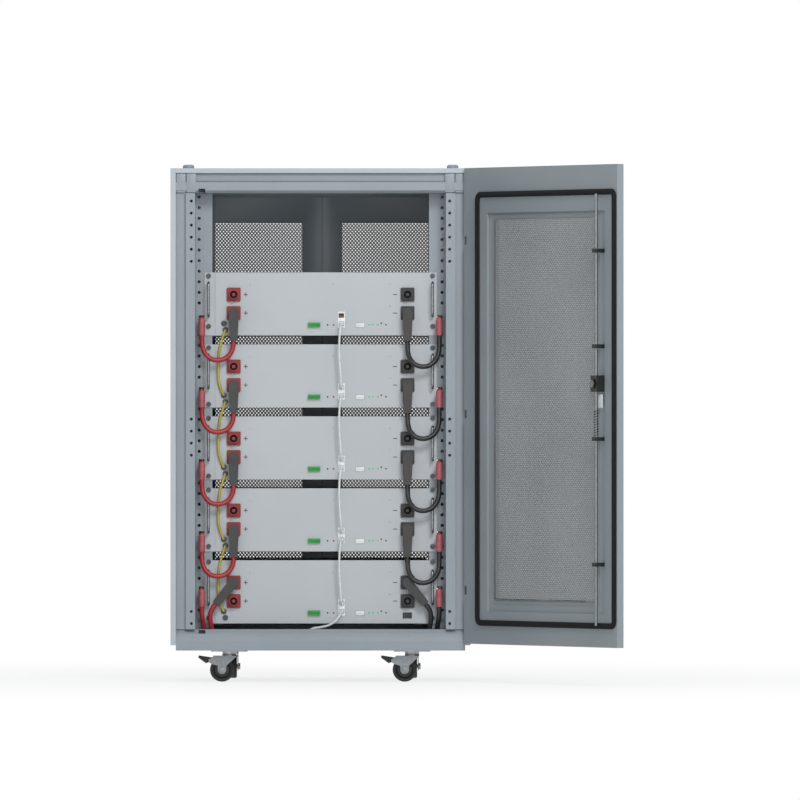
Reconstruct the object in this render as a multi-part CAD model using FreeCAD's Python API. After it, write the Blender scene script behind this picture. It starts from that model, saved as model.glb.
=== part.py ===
"""Server rack battery: a 19-inch cabinet on casters that holds five 3U battery modules.

Units are millimetres, +Z is up and the front faces -Y. The origin is the centre of the base frame's
four anchor holes, on the frame's underside. The front door is drawn closed and then swung open.
"""
import FreeCAD, Part
import math
import os

from FreeCAD import Vector

# Cabinet frame
FRAME_WIDTH = 600.0
FRAME_DEPTH = 600.0
ROOF_HEIGHT = 1000.0
ROOF_THICK = 10.0
SIDE_PANEL_THICK = 11.0
SIDE_PANEL_BOTTOM = 11.0
SHEET = 1.5
BEAM_DEPTH = 38.0
BASE_BEAM_HEIGHT = 44.0
TOP_BEAM_HEIGHT = 41.5
POST_WIDTH = 40.0
GROOVE_WIDTH = 20.6
GROOVE_DEPTH = 8.0
POST_HOLE_RADIUS = 3.0
POST_HOLE_PITCH = 25.0
POST_HOLE_EDGE = 7.8
POST_HOLE_STARTS = (56.0, 405.0, 807.0)
POST_HOLE_COUNTS = (2, 4, 6)
ANCHOR_INSET = 50.0
ANCHOR_RADIUS = 6.5
ANCHOR_PLATE = 3.0
CABLE_EXIT = (240.0, 50.0, 100.0)
HANDLING_GAP = 0.4

# Mounting rails, with the ears' fixing holes to the 19-inch rack standard
RACK_UNIT = 44.45
UNIT_HOLE_STEPS = (6.35, 22.225, 38.1)
EAR_HOLE_EDGE = 7.55
RAIL_HOLE_RADIUS = 3.25
RAIL_HOLE_PITCH = 22.0
RAIL_HOLE_MARGIN = 7.7
RAIL_HOLE_START = 17.0
RAIL_INSET = 75.0
RAIL_FLANGE = 35.0
RAIL_THICK = 2.0
RAIL_WEB_OFFSET = 14.5
RAIL_WEB_DEPTH = 40.0
RAIL_SETBACK = 60.0
RACK_UNITS = 20
BRACE_HEIGHT = 38.0
BRACE_LEVELS = (60.0, 496.0, 900.0)

# Battery modules
MODULE_COUNT = 5
MODULE_HEIGHT = 131.0
MODULE_SPACING = 18.5
MODULE_SIDE_GAP = 6.0
REAR_SPACE = 130.0
MODULE_BASE = 55.5
PANEL_THICK = 2.0
EAR_THICK = 3.0
EAR_WIDTH = 22.3
EAR_LEG = 40.0
EAR_SCREW_INSETS = (13.0, 9.0)
HANDLE_BAR_RADIUS = 2.5
HANDLE_MARGINS = (18.5, 37.5)
HANDLE_REACH = 20.0
ANGLE_THICK = 1.5
ANGLE_SHELF = 40.0
ANGLE_LEG = 14.0
CELL_ROWS = 8
CELL_SIDE_ROOM = 59.0
CELL_FRONT_ROOM = 60.5
CELL_HEAD_ROOM = 12.0
CELL_GAP = 1.0
BOARD_WIDTH = 300.0
BOARD_THICK = 1.6
BOARD_HEAD_ROOM = 31.0
BOARD_SETBACK = 4.0

# Power connectors, ports and switches on each module's face
SOCKET_INSET = 38.5
SOCKET_UPPER_RISE = 85.0
SOCKET_LOWER_RISE = 46.5
SOCKET_FLANGE = 29.0
SOCKET_FLANGE_THICK = 4.0
SOCKET_RADIUS = 10.0
SOCKET_LENGTH = 12.0
SOCKET_CORE_RADIUS = 3.5
SOCKET_BORE_RADIUS = 8.0
PLUG_DEPTH = 22.0
PLUG_LENGTH = 58.0
PLUG_WIDTH = 20.0
PLUG_TAIL_WIDTH = 16.0
PLUG_BODY_DEPTH = 14.0
TURNED_PLUG_ANGLE = 40.0
JACK_SIZE = (14.6, 7.0, 34.0)
JACK_OFFSET = 43.0
JACK_RISE = 33.0
JACK_MOUTH = 11.0
JACK_MOUTH_HEIGHT = 9.0
JACK_SPACING = 16.5
PATCH_PLUG_SIZE = (9.0, 12.0, 6.0)
PATCH_PLUG_SEAT = 5.0
TERMINAL_SIZE = (25.5, 6.0, 9.7)
TERMINAL_OFFSET = -13.5
TERMINAL_RISE = 22.0
DIP_SIZE = (19.3, 3.0, 10.4)
DIP_OFFSET = 81.6
DIP_RISE = 21.3
ROCKER_SIZE = (18.0, 3.0, 11.0)
ROCKER_INSET = 39.0
ROCKER_RISE = 16.8
STUD_RADIUS = 4.0
STUD_LENGTH = 3.2
STUD_INSETS = (18.0, 21.0)
STUD_RISES = (25.0, 12.0)
SCREW_HEAD_RADIUS = 5.0
SCREW_HEAD_LENGTH = 3.5
SCREW_RADIUS = 3.0
SCREW_SHANK = 17.0
NUT_SIZE = 13.0
NUT_THICK = 6.0

# Cables
POWER_CABLE_RADIUS = 5.0
PATCH_CABLE_RADIUS = 2.4
GROUND_WIRE_RADIUS = 2.7
BOOT_RADIUS = 7.0
BOOT_LENGTH = 31.0
BOOT_INSET = 21.5
LAST_BOOT_RISE = 35.0
BOOT_FORWARD = 3.0
LUG_RADIUS = 5.0
CABLE_SLOT_WIDTH = 13.0
CABLE_SLOT_HEIGHT = 22.0
BUSBAR_THICK = 6.0
BUSBAR_DEPTH = 30.0
BUSBAR_SETBACK = 50.0
INSULATOR_RADIUS = 8.0

# Front door
DOOR_ANGLE = 120.0
DOOR_EDGE_GAP = 4.0
DOOR_THICK = 15.0
DOOR_BOTTOM = 14.7
DOOR_GAP = 7.6
GASKET_WIDTH = 12.0
GASKET_THICK = 7.0
GASKET_CORNER = 18.0
GASKET_MARGINS = (51.5, 3.0, 38.0, 50.0)
HINGE_EDGE = 4.5
HINGE_HEIGHT = 36.0
HINGE_PIN_RADIUS = 2.0
HINGE_BARREL_RADIUS = 4.0
HINGE_FIT = 0.05
HINGE_SHARES = (0.116, 0.481, 0.841)
HINGE_RELIEF = 1.0
HINGE_ARM_THICK = 2.4
HINGE_FOOT = 5.3
WINDOW_MARGINS = (118.0, 89.0, 107.0, 105.5)
RECESS_MARGINS = (93.0, 50.0, 83.0, 94.0)
RECESS_DEPTH = 6.0
MESH_THICK = 1.2
MESH_LAP = 8.0
MESH_COUNTS = (12, 23)
MESH_OPEN_SHARE = 0.64
LOCK_EDGE = 65.0
LOCK_BOX = (26.0, 17.0, 33.4)
LOCK_SHARE = 0.553
DRUM_RADIUS = 5.5
ROD_EDGE = 61.0
ROD_RADIUS = 3.0
ROD_HEIGHT = 13.5
ROD_END_GAPS = (15.5, 8.5)
GUIDE_SIZE = (14.0, 8.0)
GUIDE_SHARES = (0.18, 0.436, 0.625, 0.82)
ROD_FIT = 0.08
ROD_SLOT = 14.0
LEVER_SIZE = (22.0, 12.0, 130.0)
LEVER_PIVOT_RADIUS = 6.0
LEVER_PIVOT_DROP = 14.0
SPINDLE_REACH = 8.0

# Rear doors
REAR_DOOR_SEAM = 0.8
REAR_STILE = 42.0
REAR_OUTER_STILE = 60.0
REAR_RAIL = 106.5

# Roof fittings
ROOF_BOLT_INSET = 26.0
ROOF_BOLT_RADIUS = 12.0
ROOF_BOLT_HEIGHT = 7.6
FAN_PLACE_SHARE = 0.295
FAN_SIZE = 92.0
FAN_THICK = 25.0
FAN_BORE_RADIUS = 43.0
FAN_HUB_RADIUS = 17.0
FAN_BLADES = 7
FAN_BLADE_TWIST = 35.0
FAN_TIP_GAP = 1.5
FAN_SHAFT_RADIUS = 2.0
FAN_SPOKE_WIDTH = 4.0
FAN_SPOKE_THICK = 3.0
GUARD_RINGS = (14.0, 24.0, 34.0, 43.0)
GUARD_WIRE = 1.2
GUARD_LIFT = 2.4
GUARD_LAP = 7.0

# Casters
CASTER_INSET = 110.0
CASTER_PLATE = (76.0, 76.0, 3.5)
CASTER_TRAIL = 15.5
WHEEL_RADIUS = 25.0
WHEEL_WIDTH = 22.0
WHEEL_EDGE = 3.0
AXLE_RADIUS = 4.0
AXLE_DROP = 41.5
AXLE_FIT = 0.06
FORK_PLATE = 2.0
FORK_GAP = 1.2
FORK_TOP = 12.5
RACE_RADIUS = 15.0
RACE_HEIGHT = 6.0
KINGPIN_RADIUS = 5.0
FORK_END_RADIUS = 9.0
PEDAL_LENGTH = 34.0
PEDAL_PIVOT = (-38.0, -20.0)
PEDAL_PIN_RADIUS = 2.0
PEDAL_FIT = 0.06
REAR_CASTER_TURN = 90.0

HALF_WIDTH = FRAME_WIDTH / 2
HALF_DEPTH = FRAME_DEPTH / 2
OUTER_HALF = HALF_WIDTH + SIDE_PANEL_THICK
FRAME_TOP = ROOF_HEIGHT - ROOF_THICK
TOP_BEAM_BOTTOM = FRAME_TOP - TOP_BEAM_HEIGHT
ANCHOR_X = HALF_WIDTH - ANCHOR_INSET
ANCHOR_Y = HALF_DEPTH - ANCHOR_INSET
RAIL_OPENING = FRAME_WIDTH - 2 * RAIL_INSET
EAR_HOLE_SPACING = RAIL_OPENING + 2 * EAR_HOLE_EDGE
RAIL_FACE = -HALF_DEPTH + RAIL_SETBACK
RAIL_BACK_FACE = HALF_DEPTH - RAIL_SETBACK
EAR_FACE = RAIL_FACE - EAR_THICK
PANEL_FACE = EAR_FACE - PANEL_THICK
WEB_X = RAIL_OPENING / 2 + RAIL_WEB_OFFSET
STRIP_X = RAIL_OPENING / 2 + RAIL_FLANGE
MODULE_WIDTH = RAIL_OPENING - 2 * MODULE_SIDE_GAP
MODULE_DEPTH = FRAME_DEPTH - REAR_SPACE
MODULE_PITCH = MODULE_HEIGHT + MODULE_SPACING
HANDLE_LENGTH = MODULE_HEIGHT - sum(HANDLE_MARGINS)
HANDLE_DROP = HANDLE_MARGINS[0] + HANDLE_LENGTH / 2
BOARD_HEIGHT = MODULE_HEIGHT - BOARD_HEAD_ROOM
SOCKET_UPPER_DROP = MODULE_HEIGHT - SOCKET_UPPER_RISE
SOCKET_LOWER_DROP = MODULE_HEIGHT - SOCKET_LOWER_RISE
JACK_DROP = MODULE_HEIGHT - JACK_RISE
TERMINAL_DROP = MODULE_HEIGHT - TERMINAL_RISE
DIP_DROP = MODULE_HEIGHT - DIP_RISE
ROCKER_DROP = MODULE_HEIGHT - ROCKER_RISE
CELL_WIDTH = MODULE_WIDTH / 2 - CELL_SIDE_ROOM
CELL_THICK = (MODULE_DEPTH - SHEET - CELL_FRONT_ROOM) / CELL_ROWS - CELL_GAP
CELL_HEIGHT = MODULE_HEIGHT - CELL_HEAD_ROOM
SOCKET_OFFSET = MODULE_WIDTH / 2 - SOCKET_INSET
ROCKER_OFFSET = MODULE_WIDTH / 2 - ROCKER_INSET
STUD_POSITIONS = [
    (inset - MODULE_WIDTH / 2, MODULE_HEIGHT - rise) for inset, rise in zip(STUD_INSETS, STUD_RISES)]
BOOT_OFFSET = RAIL_OPENING / 2 + BOOT_INSET
FAN_OFFSET = FAN_PLACE_SHARE * FRAME_WIDTH
DOOR_WIDTH = 2 * OUTER_HALF - DOOR_EDGE_GAP
DOOR_INNER = -HALF_DEPTH - DOOR_GAP
DOOR_OUTER = DOOR_INNER - DOOR_THICK
DOOR_RIGHT = OUTER_HALF
HINGE_X = DOOR_RIGHT - HINGE_EDGE
HINGE_Y = DOOR_INNER - DOOR_THICK / 2
HINGE_LEVELS = [share * ROOF_HEIGHT for share in HINGE_SHARES]
GUIDE_LEVELS = [share * ROOF_HEIGHT for share in GUIDE_SHARES]
LOCK_LEVEL = LOCK_SHARE * ROOF_HEIGHT
LOCK_STATION = DOOR_WIDTH - LOCK_EDGE
ROD_STATION = DOOR_WIDTH - ROD_EDGE
ROD_SPAN = (BASE_BEAM_HEIGHT + ROD_END_GAPS[0], TOP_BEAM_BOTTOM - ROD_END_GAPS[1])
UP = Vector(0, 0, 1)
ALONG_X = Vector(1, 0, 0)
ALONG_Y = Vector(0, 1, 0)


def door_field(margins):
    """A field on the closed front door, from its margins at the hinge, the lock, the foot and the top."""
    hinge, lock, foot, head = margins
    return hinge, DOOR_WIDTH - lock, foot, ROOF_HEIGHT - head


def block(x0, x1, y0, y1, z0, z1):
    low = Vector(min(x0, x1), min(y0, y1), min(z0, z1))
    return Part.makeBox(abs(x1 - x0), abs(y1 - y0), abs(z1 - z0), low)


def rod(radius, length, base, axis=UP):
    return Part.makeCylinder(radius, length, base, axis)


def join(shapes):
    shapes = list(shapes)
    if len(shapes) == 1:
        return shapes[0]
    return shapes[0].multiFuse(shapes[1:]).removeSplitter()


def moved(shape, x=0.0, y=0.0, z=0.0):
    copy = shape.copy()
    copy.translate(Vector(x, y, z))
    return copy


def turned(shape, point, axis, angle):
    copy = shape.copy()
    copy.rotate(point, axis, angle)
    return copy


def flipped(shape):
    """The mirror image on the cabinet's other side."""
    return shape.mirror(Vector(0, 0, 0), ALONG_X)


def backwards(shape):
    """The mirror image at the cabinet's other end."""
    return shape.mirror(Vector(0, 0, 0), ALONG_Y)


def extruded(points, along):
    wire = Part.makePolygon(points + [points[0]])
    return Part.Face(wire).extrude(along)


def tube_section(points, along, wall):
    """A folded sheet section of one wall thickness, closed all round."""
    outer = Part.Face(Part.makePolygon(points + [points[0]]))
    inner = outer.makeOffset2D(-wall)
    return outer.cut(inner).extrude(along)


def save(name, shapes):
    solids = []
    for shape in shapes:
        solids.extend(shape.Solids)
    if len(solids) == 1:
        solids[0].exportStep(f"parts/{name}.step")
    else:
        Part.makeCompound(solids).exportStep(f"parts/{name}.step")


def module_bases():
    """The underside of each module, from the top one down."""
    return [MODULE_BASE + MODULE_PITCH * step for step in range(MODULE_COUNT - 1, -1, -1)]


def module_tops():
    return [base + MODULE_HEIGHT for base in module_bases()]


def boot_feet():
    """The height at which each module's power cables enter their boots."""
    tops = module_tops()
    return [top - MODULE_HEIGHT for top in tops[:-1]] + [tops[-1] - MODULE_HEIGHT + LAST_BOOT_RISE]


def unit_holes():
    """The rack standard's fixing heights: three to each rack unit."""
    heights = []
    for unit in range(RACK_UNITS):
        for offset in UNIT_HOLE_STEPS:
            heights.append(BASE_BEAM_HEIGHT + unit * RACK_UNIT + offset)
    return heights


def nearest_unit_hole(height):
    return min(unit_holes(), key=lambda hole: abs(hole - height))


def rod_slot(level):
    """The hole in a beam that a lock rod enters when the door is locked."""
    x = DOOR_RIGHT - ROD_STATION
    y = DOOR_INNER + ROD_HEIGHT
    half = ROD_SLOT / 2
    return block(x - half, x + half, y - half, y + half, level - 6 * SHEET, level + 6 * SHEET)


def base_frame():
    front = [
        Vector(0, -HALF_DEPTH, 0),
        Vector(0, -HALF_DEPTH, 20),
        Vector(0, -HALF_DEPTH + 4, 28),
        Vector(0, -HALF_DEPTH + 4, 35),
        Vector(0, -HALF_DEPTH + 12, BASE_BEAM_HEIGHT),
        Vector(0, -HALF_DEPTH + BEAM_DEPTH, BASE_BEAM_HEIGHT),
        Vector(0, -HALF_DEPTH + BEAM_DEPTH, 0),
    ]
    front_beam = tube_section(front, Vector(FRAME_WIDTH, 0, 0), SHEET)
    front_beam.translate(Vector(-HALF_WIDTH, 0, 0))
    front_beam = front_beam.cut(rod_slot(BASE_BEAM_HEIGHT))
    side = [
        Vector(-HALF_WIDTH, 0, 0),
        Vector(-HALF_WIDTH, 0, BASE_BEAM_HEIGHT),
        Vector(-HALF_WIDTH + BEAM_DEPTH, 0, BASE_BEAM_HEIGHT),
        Vector(-HALF_WIDTH + BEAM_DEPTH, 0, 0),
    ]
    side_beam = tube_section(side, Vector(0, FRAME_DEPTH - 2 * BEAM_DEPTH, 0), SHEET)
    side_beam.translate(Vector(0, -HALF_DEPTH + BEAM_DEPTH, 0))
    floor = block(
        -HALF_WIDTH + BEAM_DEPTH, HALF_WIDTH - BEAM_DEPTH,
        -HALF_DEPTH + BEAM_DEPTH, HALF_DEPTH - BEAM_DEPTH, 0, ANCHOR_PLATE)
    frame = join([front_beam, backwards(front_beam), side_beam, flipped(side_beam), floor])
    for x in (-ANCHOR_X, ANCHOR_X):
        for y in (-ANCHOR_Y, ANCHOR_Y):
            frame = frame.cut(rod(ANCHOR_RADIUS, 4 * ANCHOR_PLATE, Vector(x, y, -ANCHOR_PLATE)))
    width, depth, inset = CABLE_EXIT
    back = HALF_DEPTH - inset
    cable_exit = block(-width / 2, width / 2, back - depth, back, -1, ANCHOR_PLATE + 1)
    return frame.cut(cable_exit)


def top_frame():
    front = [
        Vector(0, -HALF_DEPTH + 10, FRAME_TOP),
        Vector(0, -HALF_DEPTH + 10, FRAME_TOP - 16),
        Vector(0, -HALF_DEPTH, FRAME_TOP - 19),
        Vector(0, -HALF_DEPTH, FRAME_TOP - 36),
        Vector(0, -HALF_DEPTH + 8, TOP_BEAM_BOTTOM),
        Vector(0, -HALF_DEPTH + BEAM_DEPTH, TOP_BEAM_BOTTOM),
        Vector(0, -HALF_DEPTH + BEAM_DEPTH, FRAME_TOP),
    ]
    front_beam = tube_section(front, Vector(FRAME_WIDTH, 0, 0), SHEET)
    front_beam.translate(Vector(-HALF_WIDTH, 0, 0))
    front_beam = front_beam.cut(rod_slot(TOP_BEAM_BOTTOM))
    side = [
        Vector(-HALF_WIDTH, 0, TOP_BEAM_BOTTOM),
        Vector(-HALF_WIDTH, 0, FRAME_TOP),
        Vector(-HALF_WIDTH + BEAM_DEPTH, 0, FRAME_TOP),
        Vector(-HALF_WIDTH + BEAM_DEPTH, 0, TOP_BEAM_BOTTOM),
    ]
    side_beam = tube_section(side, Vector(0, FRAME_DEPTH - 2 * BEAM_DEPTH, 0), SHEET)
    side_beam.translate(Vector(0, -HALF_DEPTH + BEAM_DEPTH, 0))
    return join([front_beam, backwards(front_beam), side_beam, flipped(side_beam)])


def corner_post():
    """The front left post: a folded section with a groove and groups of round holes in its face."""
    x = -HALF_WIDTH
    y = -HALF_DEPTH
    points = [
        Vector(x, y + GROOVE_DEPTH, BASE_BEAM_HEIGHT),
        Vector(x + GROOVE_WIDTH, y + GROOVE_DEPTH, BASE_BEAM_HEIGHT),
        Vector(x + GROOVE_WIDTH, y, BASE_BEAM_HEIGHT),
        Vector(x + POST_WIDTH, y, BASE_BEAM_HEIGHT),
        Vector(x + POST_WIDTH, y + BEAM_DEPTH, BASE_BEAM_HEIGHT),
        Vector(x, y + BEAM_DEPTH, BASE_BEAM_HEIGHT),
    ]
    post = tube_section(points, Vector(0, 0, TOP_BEAM_BOTTOM - BASE_BEAM_HEIGHT), SHEET)
    holes = []
    for start, count in zip(POST_HOLE_STARTS, POST_HOLE_COUNTS):
        for step in range(count):
            place = Vector(x + POST_WIDTH - POST_HOLE_EDGE, y - 1, start + step * POST_HOLE_PITCH)
            holes.append(rod(POST_HOLE_RADIUS, SHEET + 2, place, ALONG_Y))
    return post.cut(holes)


def mounting_rail():
    """The front left rail: a flange with a column of round holes near its edge, and a web that runs back."""
    z0 = BASE_BEAM_HEIGHT + HANDLING_GAP
    z1 = TOP_BEAM_BOTTOM - HANDLING_GAP
    flange = block(-STRIP_X, -RAIL_OPENING / 2, RAIL_FACE, RAIL_FACE + RAIL_THICK, z0, z1)
    web = block(-WEB_X, -WEB_X + RAIL_THICK, RAIL_FACE, RAIL_FACE + RAIL_WEB_DEPTH, z0, z1)
    rail = join([flange, web])
    cuts = []
    slots = [foot + BOOT_LENGTH for foot in boot_feet()]
    clear = CABLE_SLOT_HEIGHT / 2 + 2 * RAIL_HOLE_RADIUS
    z = BASE_BEAM_HEIGHT + RAIL_HOLE_START
    while z < z1 - 2 * RAIL_HOLE_RADIUS:
        if all(abs(z - slot) > clear for slot in slots):
            place = Vector(-STRIP_X + RAIL_HOLE_MARGIN, RAIL_FACE, z)
            cuts.append(rod(RAIL_HOLE_RADIUS, RAIL_THICK, place, ALONG_Y))
        z += RAIL_HOLE_PITCH
    for base in module_bases():
        for z in ear_screw_levels(base):
            cuts.append(rod(SCREW_RADIUS, RAIL_THICK, Vector(-EAR_HOLE_SPACING / 2, RAIL_FACE, z), ALONG_Y))
    for z in slots:
        cuts.append(block(
            -BOOT_OFFSET - CABLE_SLOT_WIDTH / 2, -BOOT_OFFSET + CABLE_SLOT_WIDTH / 2,
            RAIL_FACE - 1, RAIL_FACE + RAIL_THICK + 1,
            z - CABLE_SLOT_HEIGHT / 2, z + CABLE_SLOT_HEIGHT / 2))
    return rail.cut(cuts)


def depth_brace(level):
    plate = block(
        -STRIP_X - RAIL_THICK, -STRIP_X,
        -HALF_DEPTH + BEAM_DEPTH, HALF_DEPTH - BEAM_DEPTH, level, level + BRACE_HEIGHT)
    y = RAIL_FACE + RAIL_THICK
    shelf = block(
        -STRIP_X - RAIL_THICK, -WEB_X, y, y + RAIL_WEB_DEPTH - RAIL_THICK, level, level + RAIL_THICK)
    return join([plate, shelf, backwards(shelf)])


def side_panel():
    """The left side panel: a shallow pan that hooks on the frame, open towards it."""
    outer = block(-OUTER_HALF, -HALF_WIDTH, -HALF_DEPTH, HALF_DEPTH, SIDE_PANEL_BOTTOM, FRAME_TOP)
    hollow = block(
        -OUTER_HALF + SHEET, -HALF_WIDTH + 1, -HALF_DEPTH + SHEET, HALF_DEPTH - SHEET,
        SIDE_PANEL_BOTTOM + SHEET, FRAME_TOP - SHEET)
    return outer.cut(hollow)


def roof_bolt_places():
    x = HALF_WIDTH - ROOF_BOLT_INSET
    y = HALF_DEPTH - ROOF_BOLT_INSET
    return [(-x, -y), (-x, y), (x, -y), (x, y)]


def roof_cover():
    outer = block(-OUTER_HALF, OUTER_HALF, -HALF_DEPTH, HALF_DEPTH, FRAME_TOP, ROOF_HEIGHT)
    hollow = block(
        -OUTER_HALF + SHEET, OUTER_HALF - SHEET, -HALF_DEPTH + SHEET, HALF_DEPTH - SHEET,
        FRAME_TOP - 1, ROOF_HEIGHT - SHEET)
    cuts = [hollow]
    for x in (-FAN_OFFSET, FAN_OFFSET):
        cuts.append(rod(FAN_BORE_RADIUS, ROOF_THICK, Vector(x, 0, FRAME_TOP)))
    roof = outer.cut(cuts)
    bosses = []
    for x, y in roof_bolt_places():
        bosses.append(rod(ROOF_BOLT_RADIUS, ROOF_THICK, Vector(x, y, FRAME_TOP)))
    return join([roof] + bosses)


def roof_bolts():
    """Domed caps over the four lifting points."""
    caps = []
    for x, y in roof_bolt_places():
        cap = rod(ROOF_BOLT_RADIUS, ROOF_BOLT_HEIGHT, Vector(x, y, ROOF_HEIGHT))
        rim = [edge for edge in cap.Edges if edge.BoundBox.ZMin > ROOF_HEIGHT + ROOF_BOLT_HEIGHT / 2]
        caps.append(cap.makeChamfer(ROOF_BOLT_HEIGHT / 3, rim[:1]))
    return caps


def fan_housing(x):
    """A square fan frame under the roof, with a bearing tube on four spokes."""
    half = FAN_SIZE / 2
    top = ROOF_HEIGHT - SHEET
    body = block(x - half, x + half, -half, half, top - FAN_THICK, top)
    body = body.cut(rod(FAN_BORE_RADIUS, FAN_THICK, Vector(x, 0, top - FAN_THICK)))
    spokes = []
    for angle in range(0, 360, 90):
        spoke = block(
            x, x + FAN_BORE_RADIUS + 1, -FAN_SPOKE_WIDTH / 2, FAN_SPOKE_WIDTH / 2,
            top - FAN_THICK, top - FAN_THICK + FAN_SPOKE_THICK)
        spokes.append(turned(spoke, Vector(x, 0, 0), UP, angle + 45))
    motor = rod(FAN_HUB_RADIUS, FAN_SPOKE_THICK, Vector(x, 0, top - FAN_THICK))
    shaft = rod(FAN_SHAFT_RADIUS, FAN_THICK - 2 * FAN_SPOKE_THICK, Vector(x, 0, top - FAN_THICK))
    return join([body, motor, shaft] + spokes)


def fan_guard(x):
    """Rings that stand a little above the roof, on two crossed bars that rest on it."""
    z = ROOF_HEIGHT
    parts = []
    for radius in GUARD_RINGS:
        ring = rod(radius + GUARD_WIRE, GUARD_LIFT, Vector(x, 0, z))
        parts.append(ring.cut(rod(radius - GUARD_WIRE, GUARD_LIFT, Vector(x, 0, z))))
    reach = GUARD_RINGS[-1] + GUARD_LAP
    for angle in (45, 135):
        bar = block(x - reach, x + reach, -GUARD_WIRE, GUARD_WIRE, z, z + GUARD_LIFT)
        parts.append(turned(bar, Vector(x, 0, z), UP, angle))
    return join(parts)


def fan_rotor(x):
    top = ROOF_HEIGHT - SHEET
    z0 = top - FAN_THICK + 4
    height = FAN_THICK - 8
    hub = rod(FAN_HUB_RADIUS, height, Vector(x, 0, z0))
    blades = []
    reach = FAN_BORE_RADIUS - FAN_TIP_GAP
    for step in range(FAN_BLADES):
        centre = z0 + height / 2
        blade = block(x + FAN_HUB_RADIUS - 3, x + reach - 1.5, -1, 1, centre - 10, centre + 10)
        blade = turned(blade, Vector(x, 0, centre), ALONG_X, 90 - FAN_BLADE_TWIST)
        blades.append(turned(blade, Vector(x, 0, 0), UP, step * 360 / FAN_BLADES))
    keep = rod(reach, height, Vector(x, 0, z0))
    rotor = join([hub] + blades).common(keep)
    return rotor.cut(rod(FAN_SHAFT_RADIUS + HINGE_FIT, height, Vector(x, 0, z0)))


def support_angle(base):
    """The left angle under a module, on the webs of the front and rear rails."""
    y0 = RAIL_FACE + RAIL_THICK
    y1 = RAIL_BACK_FACE - RAIL_THICK
    inner = -WEB_X + RAIL_THICK
    shelf = block(inner, inner + ANGLE_SHELF, y0, y1, base - ANGLE_THICK, base)
    leg = block(inner, inner + ANGLE_THICK, y0, y1, base - ANGLE_LEG, base)
    return join([shelf, leg])


def module_case(base):
    half = MODULE_WIDTH / 2
    y1 = EAR_FACE + MODULE_DEPTH
    outer = block(-half, half, EAR_FACE, y1, base, base + MODULE_HEIGHT)
    hollow = block(
        -half + SHEET, half - SHEET, EAR_FACE - 1, y1 - SHEET, base + SHEET, base + MODULE_HEIGHT - SHEET)
    return outer.cut(hollow)


def face_cut(x, z, size):
    """A cut through the front panel for a port of that size."""
    return block(
        x - size[0] / 2, x + size[0] / 2, PANEL_FACE - 1, EAR_FACE + 1, z - size[2] / 2, z + size[2] / 2)


def front_panel(base):
    half = MODULE_WIDTH / 2
    top = base + MODULE_HEIGHT
    panel = block(-half, half, PANEL_FACE, EAR_FACE, base, top)
    cuts = [
        face_cut(JACK_OFFSET, top - JACK_DROP, JACK_SIZE),
        face_cut(TERMINAL_OFFSET, top - TERMINAL_DROP, TERMINAL_SIZE),
        face_cut(DIP_OFFSET, top - DIP_DROP, DIP_SIZE),
        face_cut(ROCKER_OFFSET, top - ROCKER_DROP, (ROCKER_SIZE[0] + 1, 0, ROCKER_SIZE[2] + 1)),
    ]
    return panel.cut(cuts)


def ear(base):
    """The left bracket: a slotted flange on the rail and a leg along the case."""
    half = MODULE_WIDTH / 2
    top = base + MODULE_HEIGHT
    flange = block(-half - EAR_WIDTH, -half, EAR_FACE, RAIL_FACE, base, top)
    leg = block(-half - ANGLE_THICK, -half, EAR_FACE, EAR_FACE + EAR_LEG, base, top)
    bracket = join([flange, leg])
    cuts = []
    for z in ear_screw_levels(base):
        cuts.append(rod(SCREW_RADIUS, EAR_THICK, Vector(-EAR_HOLE_SPACING / 2, EAR_FACE, z), ALONG_Y))
    return bracket.cut(cuts)


def ear_screw_levels(base):
    low, high = EAR_SCREW_INSETS
    return [nearest_unit_hole(base + low), nearest_unit_hole(base + MODULE_HEIGHT - high)]


def ear_screw(z):
    x = -EAR_HOLE_SPACING / 2
    head = rod(SCREW_HEAD_RADIUS, SCREW_HEAD_LENGTH, Vector(x, EAR_FACE - SCREW_HEAD_LENGTH, z), ALONG_Y)
    shank = rod(SCREW_RADIUS, SCREW_SHANK, Vector(x, EAR_FACE, z), ALONG_Y)
    half = NUT_SIZE / 2
    back = RAIL_FACE + RAIL_THICK
    inner = -WEB_X + RAIL_THICK
    nut = block(max(x - half, inner), x + half, back, back + NUT_THICK, z - half, z + half)
    return join([head, shank, nut])


def handle(top):
    """A pull handle on the left ear: a bent bar on two feet."""
    x = -EAR_HOLE_SPACING / 2
    z = top - HANDLE_DROP
    half = HANDLE_LENGTH / 2 - HANDLE_BAR_RADIUS
    bend = 3 * HANDLE_BAR_RADIUS
    y0 = EAR_FACE
    y1 = EAR_FACE - HANDLE_REACH
    slant = bend * (1 - math.sqrt(0.5))
    path = Part.Wire([
        Part.makeLine(Vector(x, y0, z - half), Vector(x, y1 + bend, z - half)),
        Part.Arc(
            Vector(x, y1 + bend, z - half), Vector(x, y1 + slant, z - half + slant),
            Vector(x, y1, z - half + bend)).toShape(),
        Part.makeLine(Vector(x, y1, z - half + bend), Vector(x, y1, z + half - bend)),
        Part.Arc(
            Vector(x, y1, z + half - bend), Vector(x, y1 + slant, z + half - slant),
            Vector(x, y1 + bend, z + half)).toShape(),
        Part.makeLine(Vector(x, y1 + bend, z + half), Vector(x, y0, z + half)),
    ])
    section = Part.Wire(Part.makeCircle(HANDLE_BAR_RADIUS, Vector(x, y0, z - half), ALONG_Y))
    return path.makePipeShell([section], True, False)


def cells(base):
    """Sixteen flat cells in two columns, a little above the case's floor."""
    packs = []
    z = base + SHEET
    y0 = EAR_FACE + CELL_FRONT_ROOM
    for column in range(2):
        x = -CELL_WIDTH - CELL_GAP / 2 if column == 0 else CELL_GAP / 2
        for row in range(CELL_ROWS):
            y = y0 + row * (CELL_THICK + CELL_GAP)
            packs.append(block(x, x + CELL_WIDTH, y, y + CELL_THICK, z, z + CELL_HEIGHT))
    return packs


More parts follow.
